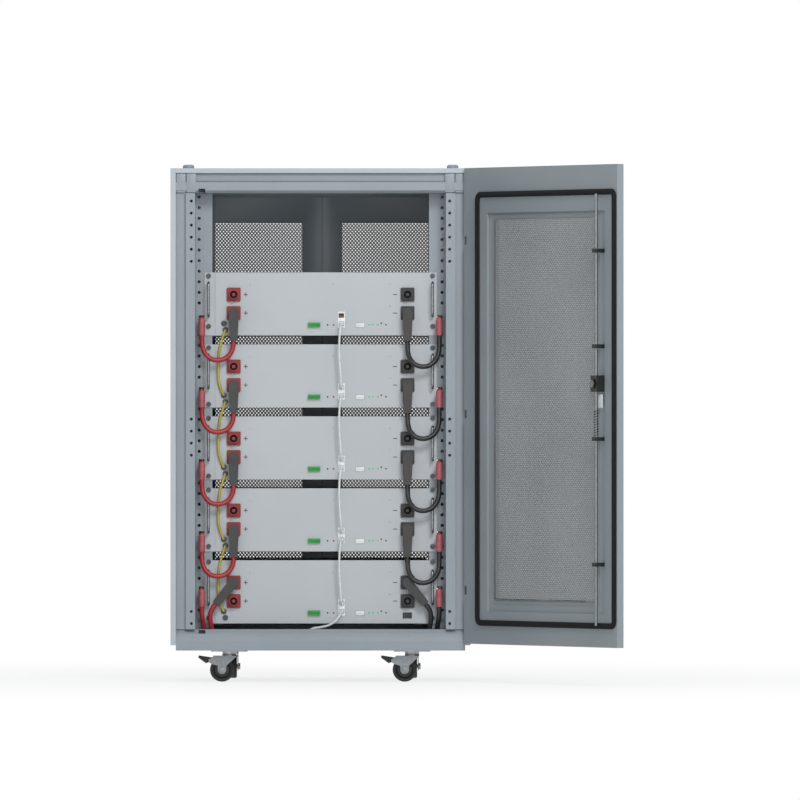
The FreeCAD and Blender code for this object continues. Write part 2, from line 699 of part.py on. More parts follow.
def control_board(base):
    """The battery management board behind the panel, with the address switch on it."""
    top = base + MODULE_HEIGHT
    y = EAR_FACE + BOARD_SETBACK
    low = base + SHEET
    board = block(-BOARD_WIDTH / 2, BOARD_WIDTH / 2, y, y + BOARD_THICK, low, low + BOARD_HEIGHT)
    z = top - DIP_DROP
    grow = HANDLING_GAP / 4
    switch = block(
        DIP_OFFSET - DIP_SIZE[0] / 2 + grow, DIP_OFFSET + DIP_SIZE[0] / 2 - grow,
        PANEL_FACE - 1, y, z - DIP_SIZE[2] / 2 + grow, z + DIP_SIZE[2] / 2 - grow)
    return join([board, switch])


def socket(x, z):
    """A square flange with a round shroud and a contact pin inside it."""
    half = SOCKET_FLANGE / 2
    y = PANEL_FACE
    flange = block(x - half, x + half, y - SOCKET_FLANGE_THICK, y, z - half, z + half)
    corners = [edge for edge in flange.Edges if abs(edge.tangentAt(edge.FirstParameter).y) > 0.9]
    flange = flange.makeFillet(3, corners)
    start = Vector(x, y - SOCKET_FLANGE_THICK, z)
    shroud = rod(SOCKET_RADIUS, SOCKET_LENGTH, start, Vector(0, -1, 0))
    shroud = shroud.cut(rod(SOCKET_BORE_RADIUS, SOCKET_LENGTH, start, Vector(0, -1, 0)))
    core = rod(SOCKET_CORE_RADIUS, SOCKET_LENGTH - 2, start, Vector(0, -1, 0))
    return join([flange, shroud, core])


def plug(x, z, angle):
    """A right-angled plug: a round head over the socket and a tapered body to the cable."""
    y0 = PANEL_FACE - SOCKET_FLANGE_THICK - HANDLING_GAP
    tail = -PLUG_LENGTH
    outline = [
        Vector(-PLUG_WIDTH / 2, y0, 0),
        Vector(-PLUG_WIDTH / 2, y0, -20),
        Vector(-PLUG_TAIL_WIDTH / 2, y0, tail),
        Vector(PLUG_TAIL_WIDTH / 2, y0, tail),
        Vector(PLUG_WIDTH / 2, y0, -20),
        Vector(PLUG_WIDTH / 2, y0, 0),
    ]
    body = moved(extruded(outline, Vector(0, -PLUG_BODY_DEPTH, 0)), 0, PLUG_BODY_DEPTH - PLUG_DEPTH, 0)
    head = rod(PLUG_WIDTH / 2 + 0.5, PLUG_DEPTH, Vector(0, y0, 0), Vector(0, -1, 0))
    shape = join([body, head])
    room = rod(SOCKET_RADIUS + HANDLING_GAP / 4, SOCKET_LENGTH + 1, Vector(0, y0 + 1, 0), Vector(0, -1, 0))
    shape = shape.cut(room)
    pin = rod(SOCKET_BORE_RADIUS - HANDLING_GAP / 4, SOCKET_LENGTH, Vector(0, y0, 0), Vector(0, -1, 0))
    core = rod(SOCKET_CORE_RADIUS + HANDLING_GAP / 4, SOCKET_LENGTH - 1, Vector(0, y0, 0), Vector(0, -1, 0))
    pin = pin.cut(core)
    shape = join([shape, pin])
    shape = turned(shape, Vector(0, 0, 0), ALONG_Y, angle)
    return moved(shape, x, 0, z)


def plug_end(x, z, angle):
    """Where the cable leaves a plug, and the direction in which it does."""
    turn = math.radians(angle)
    way = Vector(-math.sin(turn), 0, -math.cos(turn))
    y = PANEL_FACE - SOCKET_FLANGE_THICK - HANDLING_GAP - PLUG_DEPTH + PLUG_BODY_DEPTH / 2
    return Vector(x, y, z) + way * PLUG_LENGTH, way


def jacks(top):
    width, depth, height = JACK_SIZE
    z = top - JACK_DROP
    shape = block(
        JACK_OFFSET - width / 2, JACK_OFFSET + width / 2,
        PANEL_FACE - 1.5, EAR_FACE + BOARD_SETBACK, z - height / 2, z + height / 2)
    mouths = []
    for level in (z - JACK_SPACING / 2, z + JACK_SPACING / 2):
        mouths.append(block(
            JACK_OFFSET - JACK_MOUTH / 2, JACK_OFFSET + JACK_MOUTH / 2,
            PANEL_FACE - 2, PANEL_FACE + PATCH_PLUG_SEAT,
            level - JACK_MOUTH_HEIGHT / 2, level + JACK_MOUTH_HEIGHT / 2))
    return shape.cut(mouths)


def jack_centre(top, upper):
    shift = JACK_SPACING / 2 if upper else -JACK_SPACING / 2
    return Vector(JACK_OFFSET, PANEL_FACE, top - JACK_DROP + shift)


def patch_plug(top, upper):
    """A small modular plug that stands out of its jack."""
    width, reach, height = PATCH_PLUG_SIZE
    centre = jack_centre(top, upper)
    return block(
        centre.x - width / 2, centre.x + width / 2,
        centre.y - reach, centre.y + PATCH_PLUG_SEAT,
        centre.z - height / 2, centre.z + height / 2)


def terminal(top):
    width, reach, height = TERMINAL_SIZE
    z = top - TERMINAL_DROP
    grow = HANDLING_GAP / 4
    body = block(
        TERMINAL_OFFSET - width / 2 + grow, TERMINAL_OFFSET + width / 2 - grow,
        PANEL_FACE - reach, EAR_FACE + BOARD_SETBACK, z - height / 2 + grow, z + height / 2 - grow)
    cuts = []
    for step in range(4):
        x = TERMINAL_OFFSET + (step - 1.5) * 5.8
        cuts.append(block(x - 1.8, x + 1.8, PANEL_FACE - reach - 1, PANEL_FACE - reach + 4, z - 3, z + 1))
    return body.cut(cuts)


def rocker(top):
    """A rocker switch's button, with a shallow V across its face and a round back."""
    width, reach, height = ROCKER_SIZE
    z = top - ROCKER_DROP
    y = PANEL_FACE
    points = [
        Vector(ROCKER_OFFSET - width / 2, y - reach, z),
        Vector(ROCKER_OFFSET - width / 2, y, z),
        Vector(ROCKER_OFFSET - 4, y + 5, z),
        Vector(ROCKER_OFFSET + 4, y + 5, z),
        Vector(ROCKER_OFFSET + width / 2, y, z),
        Vector(ROCKER_OFFSET + width / 2, y - reach, z),
        Vector(ROCKER_OFFSET, y - reach + 1.4, z),
    ]
    shape = extruded(points, Vector(0, 0, height))
    return moved(shape, 0, 0, -height / 2)


def ground_stud(x, z):
    nut = rod(STUD_RADIUS, STUD_LENGTH, Vector(x, PANEL_FACE, z), Vector(0, -1, 0))
    washer = rod(STUD_RADIUS + 2, 1.2, Vector(x, PANEL_FACE, z), Vector(0, -1, 0))
    return join([nut, washer])


def cord(points, radius, name):
    """A tube along straight runs that tangent arcs join, each arc as large as its runs allow."""
    count = len(points)
    edges = []
    start = points[0]
    length = 0.0
    smallest = 1e9
    for index in range(1, count - 1):
        before = points[index] - points[index - 1]
        after = points[index + 1] - points[index]
        shorter = min(before.Length, after.Length)
        turn = before.getAngle(after)
        reach = 0.45 * shorter
        bend = reach / math.tan(turn / 2)
        smallest = min(smallest, bend)
        way_in = Vector(before).normalize()
        way_out = Vector(after).normalize()
        first = points[index] - way_in * reach
        last = points[index] + way_out * reach
        bisector = Vector(way_out - way_in).normalize()
        middle = points[index] + bisector * (bend / math.cos(turn / 2) - bend)
        edges.append(Part.LineSegment(start, first).toShape())
        edges.append(Part.Arc(first, middle, last).toShape())
        length += (first - start).Length + bend * turn
        start = last
    edges.append(Part.LineSegment(start, points[-1]).toShape())
    length += (points[-1] - start).Length
    path = Part.Wire(edges)
    way = Vector(points[1] - points[0]).normalize()
    section = Part.Wire(Part.makeCircle(radius, points[0], way))
    tube = path.makePipeShell([section], True, False)
    share = tube.Volume / (math.pi * radius * radius * length)
    print(f"{name}: length {length:.0f}, smallest radius {smallest:.0f}, volume share {share:.3f}")
    return tube


def hanging_route(side, top, foot):
    """A hanging loop from an upper module's plug to its boot: sideways, forward and downward steps."""
    start, _ = plug_end(side * SOCKET_OFFSET, top - SOCKET_LOWER_DROP, 0)
    end = Vector(side * BOOT_OFFSET, start.y - BOOT_FORWARD, foot)
    if side < 0:
        steps = ((0, 0, 12), (6, 1, 27), (19, 4, 38), (36.5, 7, 41), (53, 7, 34.5), (63.2, 6.5, 19.8))
        above = 13.5
    else:
        steps = (
            (0, 0, 14), (1.2, 5, 29), (9, 13.5, 44.5), (23.5, 15, 53.5), (41, 13, 53.5), (55.8, 9, 44.2),
            (64.6, 6, 28.5))
        above = 19.5
    middle = [start + Vector(side * across, -forward, -down) for across, forward, down in steps]
    return [start] + middle + [end - Vector(0, 0, above), end]


def low_route(side, top, foot):
    """The lowest module's loop drops behind the front beam and lies on the base frame's floor.

    Its steps run outwards from the boot, back from the frame's front and up from its underside.
    """
    start, way = plug_end(side * SOCKET_OFFSET, top - SOCKET_UPPER_DROP, -side * TURNED_PLUG_ANGLE)
    end = Vector(side * BOOT_OFFSET, start.y - BOOT_FORWARD, foot)
    steps = (
        (-17, 38, 69), (-18.5, 43, 53), (-22.5, 47.5, 37), (-29.5, 58, 22), (-38.5, 76, 12.5),
        (-50.5, 96, 9), (-60.5, 118, 8.6), (-62.5, 142, 8.6), (-50.5, 162, 8.6), (-29.5, 169, 8.6),
        (-10.5, 158, 8.6), (-0.5, 137, 8.6), (0.5, 112, 9), (-0.5, 88, 12), (-3, 67, 21),
        (-4.5, 53, 36), (-3.5, 44.5, 53))
    laid = [Vector(side * (BOOT_OFFSET + out), back - HALF_DEPTH, z) for out, back, z in steps]
    return [start, start + way * 15] + laid + [end - Vector(0, 0, 17), end]


def boot(side, foot):
    """The insulating boot: a sleeve that turns back through the rail's slot to the busbar."""
    x = side * BOOT_OFFSET
    y = plug_end(0, 0, 0)[0].y - BOOT_FORWARD
    z1 = foot + BOOT_LENGTH
    sleeve = rod(BOOT_RADIUS, BOOT_LENGTH, Vector(x, y, foot))
    elbow = Part.makeSphere(BOOT_RADIUS, Vector(x, y, z1))
    busbar_front = RAIL_FACE + BUSBAR_SETBACK
    lug = rod(LUG_RADIUS, busbar_front - y, Vector(x, y, z1), ALONG_Y)
    return join([sleeve, elbow, lug])


def busbar():
    """The left busbar, edge on, with its outer face on the insulators."""
    x = -BOOT_OFFSET
    y = RAIL_FACE + BUSBAR_SETBACK
    z0 = BRACE_LEVELS[0]
    z1 = module_tops()[0] + 20
    return block(x - BUSBAR_THICK / 2, x + BUSBAR_THICK / 2, y, y + BUSBAR_DEPTH, z0, z1)


def insulators():
    posts = []
    y = RAIL_FACE + BUSBAR_SETBACK + BUSBAR_DEPTH / 2
    length = STRIP_X - BOOT_OFFSET - BUSBAR_THICK / 2
    for level in BRACE_LEVELS[:2]:
        posts.append(rod(INSULATOR_RADIUS, length, Vector(-STRIP_X, y, level + BRACE_HEIGHT / 2), ALONG_X))
    return posts


def ground_route(upper_top, lower_top):
    """A ground wire from a module's lower stud to the next module's upper stud."""
    y = PANEL_FACE - STUD_LENGTH - GROUND_WIRE_RADIUS
    x0, drop0 = STUD_POSITIONS[1]
    x1, drop1 = STUD_POSITIONS[0]
    z0 = upper_top - drop0
    z1 = lower_top - drop1
    return [
        Vector(x0, y, z0),
        Vector(x0 - 5, y, z0 - 15),
        Vector(x0 - 12, y, z0 - 38),
        Vector(x0 - 14.4, y, z0 - 68),
        Vector(x1 - 12, y, z1 + 38),
        Vector(x1 - 8, y, z1 + 16),
        Vector(x1, y, z1),
    ]


def patch_route(upper_top, lower_top):
    """A patch cable from a module's lower jack to the next module's upper jack."""
    start = jack_centre(upper_top, False) + Vector(0, -PATCH_PLUG_SIZE[1], 0)
    end = jack_centre(lower_top, True) + Vector(0, -PATCH_PLUG_SIZE[1], 0)
    return [
        start,
        start + Vector(0, -9, 0),
        start + Vector(-1.6, -15, -9),
        start + Vector(-3.8, -16, -27),
        start + Vector(-4.4, -15, -54),
        end + Vector(-3.2, -14.5, 49),
        end + Vector(-1.2, -15, 26),
        end + Vector(-0.4, -14.5, 9),
        end + Vector(0, -9, 0),
        end,
    ]


def tail_end(top):
    """Where the last patch cable's spare plug lies, on the base frame's floor."""
    start = jack_centre(top, False)
    return Vector(start.x - 85, start.y + 55, ANCHOR_PLATE + PATCH_PLUG_SIZE[2] / 2 + HANDLING_GAP / 4)


def spare_plug(top):
    width, reach, height = PATCH_PLUG_SIZE
    end = tail_end(top)
    return block(
        end.x - width / 2, end.x + width / 2, end.y, end.y + reach + PATCH_PLUG_SEAT,
        end.z - height / 2, end.z + height / 2)


def tail_route(top):
    """The last patch cable: it runs down to the left and behind the base frame's front beam."""
    start = jack_centre(top, False) + Vector(0, -PATCH_PLUG_SIZE[1], 0)
    return [
        start,
        start + Vector(0, -8, 0),
        start + Vector(-4, -13, -10),
        start + Vector(-13, -13, -21),
        start + Vector(-27, -10, -29),
        start + Vector(-42, -6, -32.5),
        start + Vector(-57, -2, -34),
        start + Vector(-70, 3, -41),
        start + Vector(-79, 9, -52),
        start + Vector(-85, 19, -63),
        start + Vector(-87, 33, -70.5),
        tail_end(top) - Vector(0, 18, 0),
        tail_end(top),
    ]


def closed_box(s0, s1, h0, h1, z0, z1):
    """A block on the closed front door: s runs from the hinge edge and h from the inner face."""
    return block(DOOR_RIGHT - s0, DOOR_RIGHT - s1, DOOR_INNER + h0, DOOR_INNER + h1, z0, z1)


def swung(shape):
    return turned(shape, Vector(HINGE_X, HINGE_Y, 0), UP, DOOR_ANGLE)


def rounded_frame(s0, s1, z0, z1, corner, width, h0, h1):
    """A frame of one width with rounded corners, on the closed front door."""
    outer = closed_box(s0, s1, h0, h1, z0, z1)
    edges = [edge for edge in outer.Edges if abs(edge.tangentAt(edge.FirstParameter).y) > 0.9]
    outer = outer.makeFillet(corner, edges)
    inner = closed_box(s0 + width, s1 - width, h0 - 1, h1 + 1, z0 + width, z1 - width)
    edges = [edge for edge in inner.Edges if abs(edge.tangentAt(edge.FirstParameter).y) > 0.9]
    inner = inner.makeFillet(corner - width * 0.6, edges)
    return outer.cut(inner)


def door_pan():
    s0, s1, z0, z1 = door_field(WINDOW_MARGINS)
    r0, r1, rz0, rz1 = door_field(RECESS_MARGINS)
    top = ROOF_HEIGHT
    pan = closed_box(0, DOOR_WIDTH, -DOOR_THICK, 0, DOOR_BOTTOM, top)
    void = closed_box(
        3 * HINGE_EDGE, DOOR_WIDTH - SHEET, -DOOR_THICK + SHEET, -SHEET, DOOR_BOTTOM + SHEET, top - SHEET)
    core = closed_box(r0 - SHEET, r1 + SHEET, -DOOR_THICK, 0, rz0 - SHEET, rz1 + SHEET)
    ring = pan.cut(void.cut(core))
    window = closed_box(s0, s1, -DOOR_THICK - 1, 1, z0, z1)
    recess = closed_box(r0, r1, -RECESS_DEPTH, 1, rz0, rz1)
    behind = closed_box(
        r0, r1, -DOOR_THICK + SHEET, -RECESS_DEPTH - SHEET, rz0, rz1)
    rim = closed_box(s0 - SHEET, s1 + SHEET, -DOOR_THICK, 0, z0 - SHEET, z1 + SHEET)
    ring = ring.cut([window, recess, behind.cut(rim)])
    notches = []
    for level in HINGE_LEVELS:
        reach = HINGE_EDGE + HINGE_BARREL_RADIUS + HINGE_RELIEF
        notches.append(closed_box(-1, reach, -DOOR_THICK - 1, 1, level, level + HINGE_HEIGHT / 2))
        upper = level + HINGE_HEIGHT / 2
        bore = rod(HINGE_PIN_RADIUS + HINGE_FIT, HINGE_HEIGHT / 2, Vector(HINGE_X, HINGE_Y, upper))
        notches.append(bore)
    place = Vector(DOOR_RIGHT - LOCK_STATION, DOOR_OUTER - 1, LOCK_LEVEL)
    notches.append(rod(LEVER_PIVOT_RADIUS + HANDLING_GAP, DOOR_THICK + 2, place, ALONG_Y))
    return ring.cut(notches)


def door_hinge(level):
    """A fixed leaf on the side of the frame, its barrel in the door's notch, and its pin."""
    z0 = level + HANDLING_GAP
    foot_place = Vector(HINGE_X, HINGE_Y, z0)
    barrel = rod(HINGE_BARREL_RADIUS, HINGE_HEIGHT / 2 - 2 * HANDLING_GAP, foot_place)
    pin = rod(HINGE_PIN_RADIUS, HINGE_HEIGHT - 3 * HANDLING_GAP, foot_place)
    z1 = level + HINGE_HEIGHT / 2 - HANDLING_GAP
    half = HINGE_ARM_THICK / 2
    arm = block(HINGE_X - half, HINGE_X + half, HINGE_Y, -HALF_DEPTH, z0, z1)
    foot = block(
        HINGE_X - half - HINGE_FOOT, HINGE_X + half, -HALF_DEPTH - HINGE_ARM_THICK, -HALF_DEPTH, z0, z1)
    return join([barrel, pin, arm, foot])


def door_mesh():
    """The sheet that backs the window, on the recess's floor, with a plain grid as its perforation."""
    s0, s1, z0, z1 = door_field(WINDOW_MARGINS)
    h0 = -RECESS_DEPTH
    h1 = h0 + MESH_THICK
    sheet = closed_box(s0 - MESH_LAP, s1 + MESH_LAP, h0, h1, z0 - MESH_LAP, z1 + MESH_LAP)
    across, rows = MESH_COUNTS
    wide = (s1 - s0) / across
    tall = (z1 - z0) / rows
    grid = []
    for column in range(across):
        for row in range(rows):
            s = s0 + (column + (1 - MESH_OPEN_SHARE) / 2) * wide
            z = z0 + (row + (1 - MESH_OPEN_SHARE) / 2) * tall
            grid.append(closed_box(
                s, s + MESH_OPEN_SHARE * wide, h0 - 1, h1 + 1, z, z + MESH_OPEN_SHARE * tall))
    return sheet.cut(Part.makeCompound(grid))


def gasket():
    left, right, low, high = GASKET_MARGINS
    return rounded_frame(
        left, DOOR_WIDTH - right, DOOR_BOTTOM + low, ROOF_HEIGHT - high,
        GASKET_CORNER, GASKET_WIDTH, 0, GASKET_THICK)


def rod_guide(level):
    """A guide on the door that one lock rod slides through."""
    width, height = GUIDE_SIZE
    s = ROD_STATION
    reach = ROD_HEIGHT + ROD_RADIUS + 3
    body = closed_box(s - width / 2, s + width / 2, -RECESS_DEPTH, reach, level, level + height)
    place = Vector(DOOR_RIGHT - s, DOOR_INNER + ROD_HEIGHT, level)
    return body.cut(rod(ROD_RADIUS + ROD_FIT, height, place))


def lock_case():
    """The lock's black box with a keyed drum, and the guides of its rods."""
    width, reach, height = LOCK_BOX
    s = LOCK_STATION
    box = closed_box(
        s - width / 2, s + width / 2, -RECESS_DEPTH, reach, LOCK_LEVEL - height / 2, LOCK_LEVEL + height / 2)
    place = Vector(DOOR_RIGHT - s, DOOR_INNER + reach, LOCK_LEVEL)
    drum = rod(DRUM_RADIUS, 3, place, ALONG_Y)
    length = DOOR_THICK + SPINDLE_REACH + HANDLING_GAP
    back = Vector(DOOR_RIGHT - s, DOOR_OUTER, LOCK_LEVEL)
    pivot = rod(LEVER_PIVOT_RADIUS + HINGE_FIT, length, back, ALONG_Y)
    start = Vector(DOOR_RIGHT - ROD_STATION, DOOR_INNER + ROD_HEIGHT, LOCK_LEVEL - height)
    rods = rod(ROD_RADIUS + 1.0, 2 * height, start)
    body = join([box, drum]).cut([pivot, rods])
    return [body] + [rod_guide(level) for level in GUIDE_LEVELS]


def lock_rod(upper):
    low, high = ROD_SPAN
    x = DOOR_RIGHT - ROD_STATION
    y = DOOR_INNER + ROD_HEIGHT
    inner = LOCK_BOX[2] / 2 - 6
    if upper:
        return rod(ROD_RADIUS, high - LOCK_LEVEL - inner, Vector(x, y, LOCK_LEVEL + inner))
    return rod(ROD_RADIUS, LOCK_LEVEL - inner - low, Vector(x, y, low))


def door_handle():
    """The swing handle on the door's outer face, on a spindle that enters the lock."""
    width, reach, length = LEVER_SIZE
    s = LOCK_STATION
    x = DOOR_RIGHT - s
    face = DOOR_OUTER - 1.0
    lever = block(
        x - width / 2, x + width / 2, face - reach, face,
        LOCK_LEVEL - length + LEVER_PIVOT_DROP, LOCK_LEVEL + LEVER_PIVOT_DROP)
    edges = [edge for edge in lever.Edges if abs(edge.tangentAt(edge.FirstParameter).z) > 0.9]
    outer = [edge for edge in edges if edge.BoundBox.YMax < face - reach / 2]
    lever = lever.makeFillet(4, outer)
    length = DOOR_OUTER - face + DOOR_THICK + SPINDLE_REACH
    spindle = rod(LEVER_PIVOT_RADIUS, length, Vector(x, face, LOCK_LEVEL), ALONG_Y)
    return join([lever, spindle])


def rear_door():
    """The right rear leaf: a folded frame around a perforated sheet, notched for its hinges."""
    y0 = HALF_DEPTH + DOOR_GAP
    y1 = y0 + DOOR_THICK
    x0 = REAR_DOOR_SEAM / 2
    x1 = OUTER_HALF
    z0 = DOOR_BOTTOM
    z1 = ROOF_HEIGHT
    outer = block(x0, x1, y0, y1, z0, z1)
    void = block(x0 + SHEET, x1 - 3 * HINGE_EDGE, y0 + SHEET, y1 - SHEET, z0 + SHEET, z1 - SHEET)
    wx0 = x0 + REAR_STILE
    wx1 = x1 - REAR_OUTER_STILE
    wz0 = REAR_RAIL
    wz1 = z1 - REAR_RAIL
    core = block(wx0 - SHEET, wx1 + SHEET, y0, y1, wz0 - SHEET, wz1 + SHEET)
    window = block(wx0, wx1, y0 - 1, y1 + 1, wz0, wz1)
    frame = outer.cut(void.cut(core)).cut(window)
    middle = (y0 + y1) / 2
    sheet = block(wx0, wx1, middle - MESH_THICK / 2, middle + MESH_THICK / 2, wz0, wz1)
    cuts = []
    for level in HINGE_LEVELS:
        reach = HINGE_EDGE + HINGE_BARREL_RADIUS + HINGE_RELIEF
        cuts.append(block(x1 - reach, x1 + 1, y0 - 1, y1 + 1, level, level + HINGE_HEIGHT / 2))
        place = Vector(HINGE_X, -HINGE_Y, level + HINGE_HEIGHT / 2)
        cuts.append(rod(HINGE_PIN_RADIUS + HINGE_FIT, HINGE_HEIGHT / 2, place))
    return join([frame, sheet]).cut(cuts)


def caster_plate(x, y):
    width, depth, thick = CASTER_PLATE
    plate = block(x - width / 2, x + width / 2, y - depth / 2, y + depth / 2, -thick, 0)
    corners = [edge for edge in plate.Edges if abs(edge.tangentAt(edge.FirstParameter).z) > 0.9]
    plate = plate.makeFillet(8, corners)
    kingpin = rod(KINGPIN_RADIUS, FORK_TOP - thick + FORK_PLATE + 3, Vector(x, y, -FORK_TOP - FORK_PLATE - 3))
    head = rod(KINGPIN_RADIUS + 3, 3 - HANDLING_GAP, Vector(x, y, -FORK_TOP - FORK_PLATE - 3))
    race = rod(RACE_RADIUS, RACE_HEIGHT, Vector(x, y, -thick - RACE_HEIGHT + 1.5))
    return join([plate, kingpin, head, race])


def caster_fork():
    """A fork under the swivel, its two legs and the axle, with the wheel trailing towards -X."""
    half = WHEEL_WIDTH / 2 + FORK_GAP
    end = Vector(-CASTER_TRAIL, 0, -AXLE_DROP)
    legs = []
    for side in (-1, 1):
        y = side * (half + FORK_PLATE / 2) - FORK_PLATE / 2
        outline = [
            Vector(-34, y, -FORK_TOP - FORK_PLATE),
            Vector(-44, y, -20),
            Vector(-43, y, -26),
            Vector(-36, y, -30),
            Vector(end.x - FORK_END_RADIUS, y, end.z + 8),
            Vector(end.x - FORK_END_RADIUS, y, end.z),
            Vector(end.x + FORK_END_RADIUS, y, end.z),
            Vector(end.x + FORK_END_RADIUS, y, end.z + 8),
            Vector(14, y, -FORK_TOP - FORK_PLATE),
        ]
        leg = extruded(outline, Vector(0, FORK_PLATE, 0))
        tip = rod(FORK_END_RADIUS, FORK_PLATE, Vector(end.x, y, end.z), ALONG_Y)
        legs.append(join([leg, tip]))
    crown = block(
        -34, 14, -half - FORK_PLATE, half + FORK_PLATE, -FORK_TOP - FORK_PLATE, -FORK_TOP)
    rise = FORK_TOP - CASTER_PLATE[2] - RACE_HEIGHT + 1.5 - HANDLING_GAP
    collar = rod(RACE_RADIUS, rise, Vector(0, 0, -FORK_TOP))
    reach = half + FORK_PLATE + 4
    axle = rod(AXLE_RADIUS, 2 * reach, Vector(end.x, -reach, end.z), ALONG_Y)
    nuts = []
    for side in (-1, 1):
        base = side * (half + FORK_PLATE)
        nuts.append(rod(6.5, 4, Vector(end.x, base, end.z), Vector(0, side, 0)))
    px, pz = PEDAL_PIVOT
    pin = rod(PEDAL_PIN_RADIUS, 2 * (half + 1), Vector(px, -half - 1, pz), ALONG_Y)
    body = join([crown, collar, axle, pin] + legs + nuts)
    bore = rod(KINGPIN_RADIUS + AXLE_FIT, 40, Vector(0, 0, -FORK_TOP - FORK_PLATE - 3))
    return body.cut(bore)


def caster_wheel():
    """A tyre with bevelled edges on a hub, bored for the axle."""
    centre = Vector(-CASTER_TRAIL, -WHEEL_WIDTH / 2, -AXLE_DROP)
    tyre = rod(WHEEL_RADIUS, WHEEL_WIDTH, centre, ALONG_Y)
    rims = [edge for edge in tyre.Edges if edge.Closed]
    tyre = tyre.makeChamfer(WHEEL_EDGE, rims)
    for side in (0, 1):
        y = -WHEEL_WIDTH / 2 if side == 0 else WHEEL_WIDTH / 2 - 2
        ring = rod(18.5, 2, Vector(-CASTER_TRAIL, y, -AXLE_DROP), ALONG_Y)
        tyre = tyre.cut(ring.cut(rod(9, 2, Vector(-CASTER_TRAIL, y, -AXLE_DROP), ALONG_Y)))
    return tyre.cut(rod(AXLE_RADIUS + AXLE_FIT, WHEEL_WIDTH, centre, ALONG_Y))


def brake_pedal():
    """The pedal that tips on its pin between the fork's legs, above the wheel."""
    px, pz = PEDAL_PIVOT
    half = WHEEL_WIDTH / 2
    outline = [
        Vector(px + 3.5, -half, pz + 3.5),
        Vector(px - PEDAL_LENGTH * 0.75, -half, pz + 8),
        Vector(px - PEDAL_LENGTH * 0.8, -half, pz + 4),
        Vector(px - 11, -half, pz - 8),
        Vector(px - 2, -half, pz - 5),
        Vector(px + 3.5, -half, pz - 1.5),
    ]
    body = extruded(outline, Vector(0, WHEEL_WIDTH, 0))
    return body.cut(rod(PEDAL_PIN_RADIUS + PEDAL_FIT, WHEEL_WIDTH, Vector(px, -half, pz), ALONG_Y))


def casters():
    """Each caster's name, swivel centre and turn: the front pair trail to the left, the rear pair back."""
    x = HALF_WIDTH - CASTER_INSET
    y = HALF_DEPTH - CASTER_INSET
    return [
        ("front_left", -x, -y, 0),
        ("front_right", x, -y, 0),
        ("rear_left", -x, y, -REAR_CASTER_TURN),
        ("rear_right", x, y, -REAR_CASTER_TURN),
    ]


def build_cabinet():
    save("base_frame", [base_frame()])
    save("top_frame", [top_frame()])
    post = corner_post()
    save("corner_posts", [post, flipped(post), backwards(post), flipped(backwards(post))])
    rail = mounting_rail()
    save("mounting_rails", [rail, flipped(rail), backwards(rail), flipped(backwards(rail))])
    braces = []
    for level in BRACE_LEVELS:
        brace = depth_brace(level)
        braces.extend([brace, flipped(brace)])
    save("depth_braces", braces)
    panel = side_panel()
    save("side_panels", [panel, flipped(panel)])
    save("roof_cover", [roof_cover()])
    save("roof_bolts", roof_bolts())
    fans = []
    for x in (-FAN_OFFSET, FAN_OFFSET):
        fans.extend([fan_housing(x), fan_guard(x)])
    save("roof_fans", fans)
    save("fan_rotor_left", [fan_rotor(-FAN_OFFSET)])
    save("fan_rotor_right", [fan_rotor(FAN_OFFSET)])
    bar = busbar()
    save("busbars", [bar, flipped(bar)])
    posts = insulators()
    save("busbar_insulators", posts + [flipped(item) for item in posts])


def build_modules():
    groups = {}
    feet = boot_feet()
    for number, base in enumerate(module_bases(), start=1):
        top = base + MODULE_HEIGHT
        last = number == MODULE_COUNT
        angle = support_angle(base)
        bracket = ear(base)
        grip = handle(top)
        screws = [ear_screw(z) for z in ear_screw_levels(base)]
        upper = top - SOCKET_UPPER_DROP
        lower = top - SOCKET_LOWER_DROP
        used = upper if last else lower
        turn = TURNED_PLUG_ANGLE if last else 0.0
        pieces = {
            "support_angles": [angle, flipped(angle)],
            "module_cases": [module_case(base)],
            "module_front_panels": [front_panel(base)],
            "module_ears": [bracket, flipped(bracket)],
            "module_handles": [grip, flipped(grip)],
            "ear_screws": screws + [flipped(item) for item in screws],
            "cell_packs": cells(base),
            "battery_boards": [control_board(base)],
            "positive_sockets": [socket(-SOCKET_OFFSET, upper), socket(-SOCKET_OFFSET, lower)],
            "negative_sockets": [socket(SOCKET_OFFSET, upper), socket(SOCKET_OFFSET, lower)],
            "positive_plugs": [plug(-SOCKET_OFFSET, used, turn)],
            "negative_plugs": [plug(SOCKET_OFFSET, used, -turn)],
            "signal_jacks": [jacks(top)],
            "dry_contact_terminals": [terminal(top)],
            "ground_studs": [ground_stud(x, top - drop) for x, drop in STUD_POSITIONS],
            "cable_boots": [boot(-1, feet[number - 1]), boot(1, feet[number - 1])],
            "patch_plugs": [patch_plug(top, False)],
        }
        if number > 1:
            pieces["patch_plugs"].append(patch_plug(top, True))
        if last:
            pieces["patch_plugs"].append(spare_plug(top))
        for name, shapes in pieces.items():
            groups.setdefault(name, []).extend(shapes)
        save(f"power_rocker_{number}", [rocker(top)])
    for name, shapes in groups.items():
        save(name, shapes)


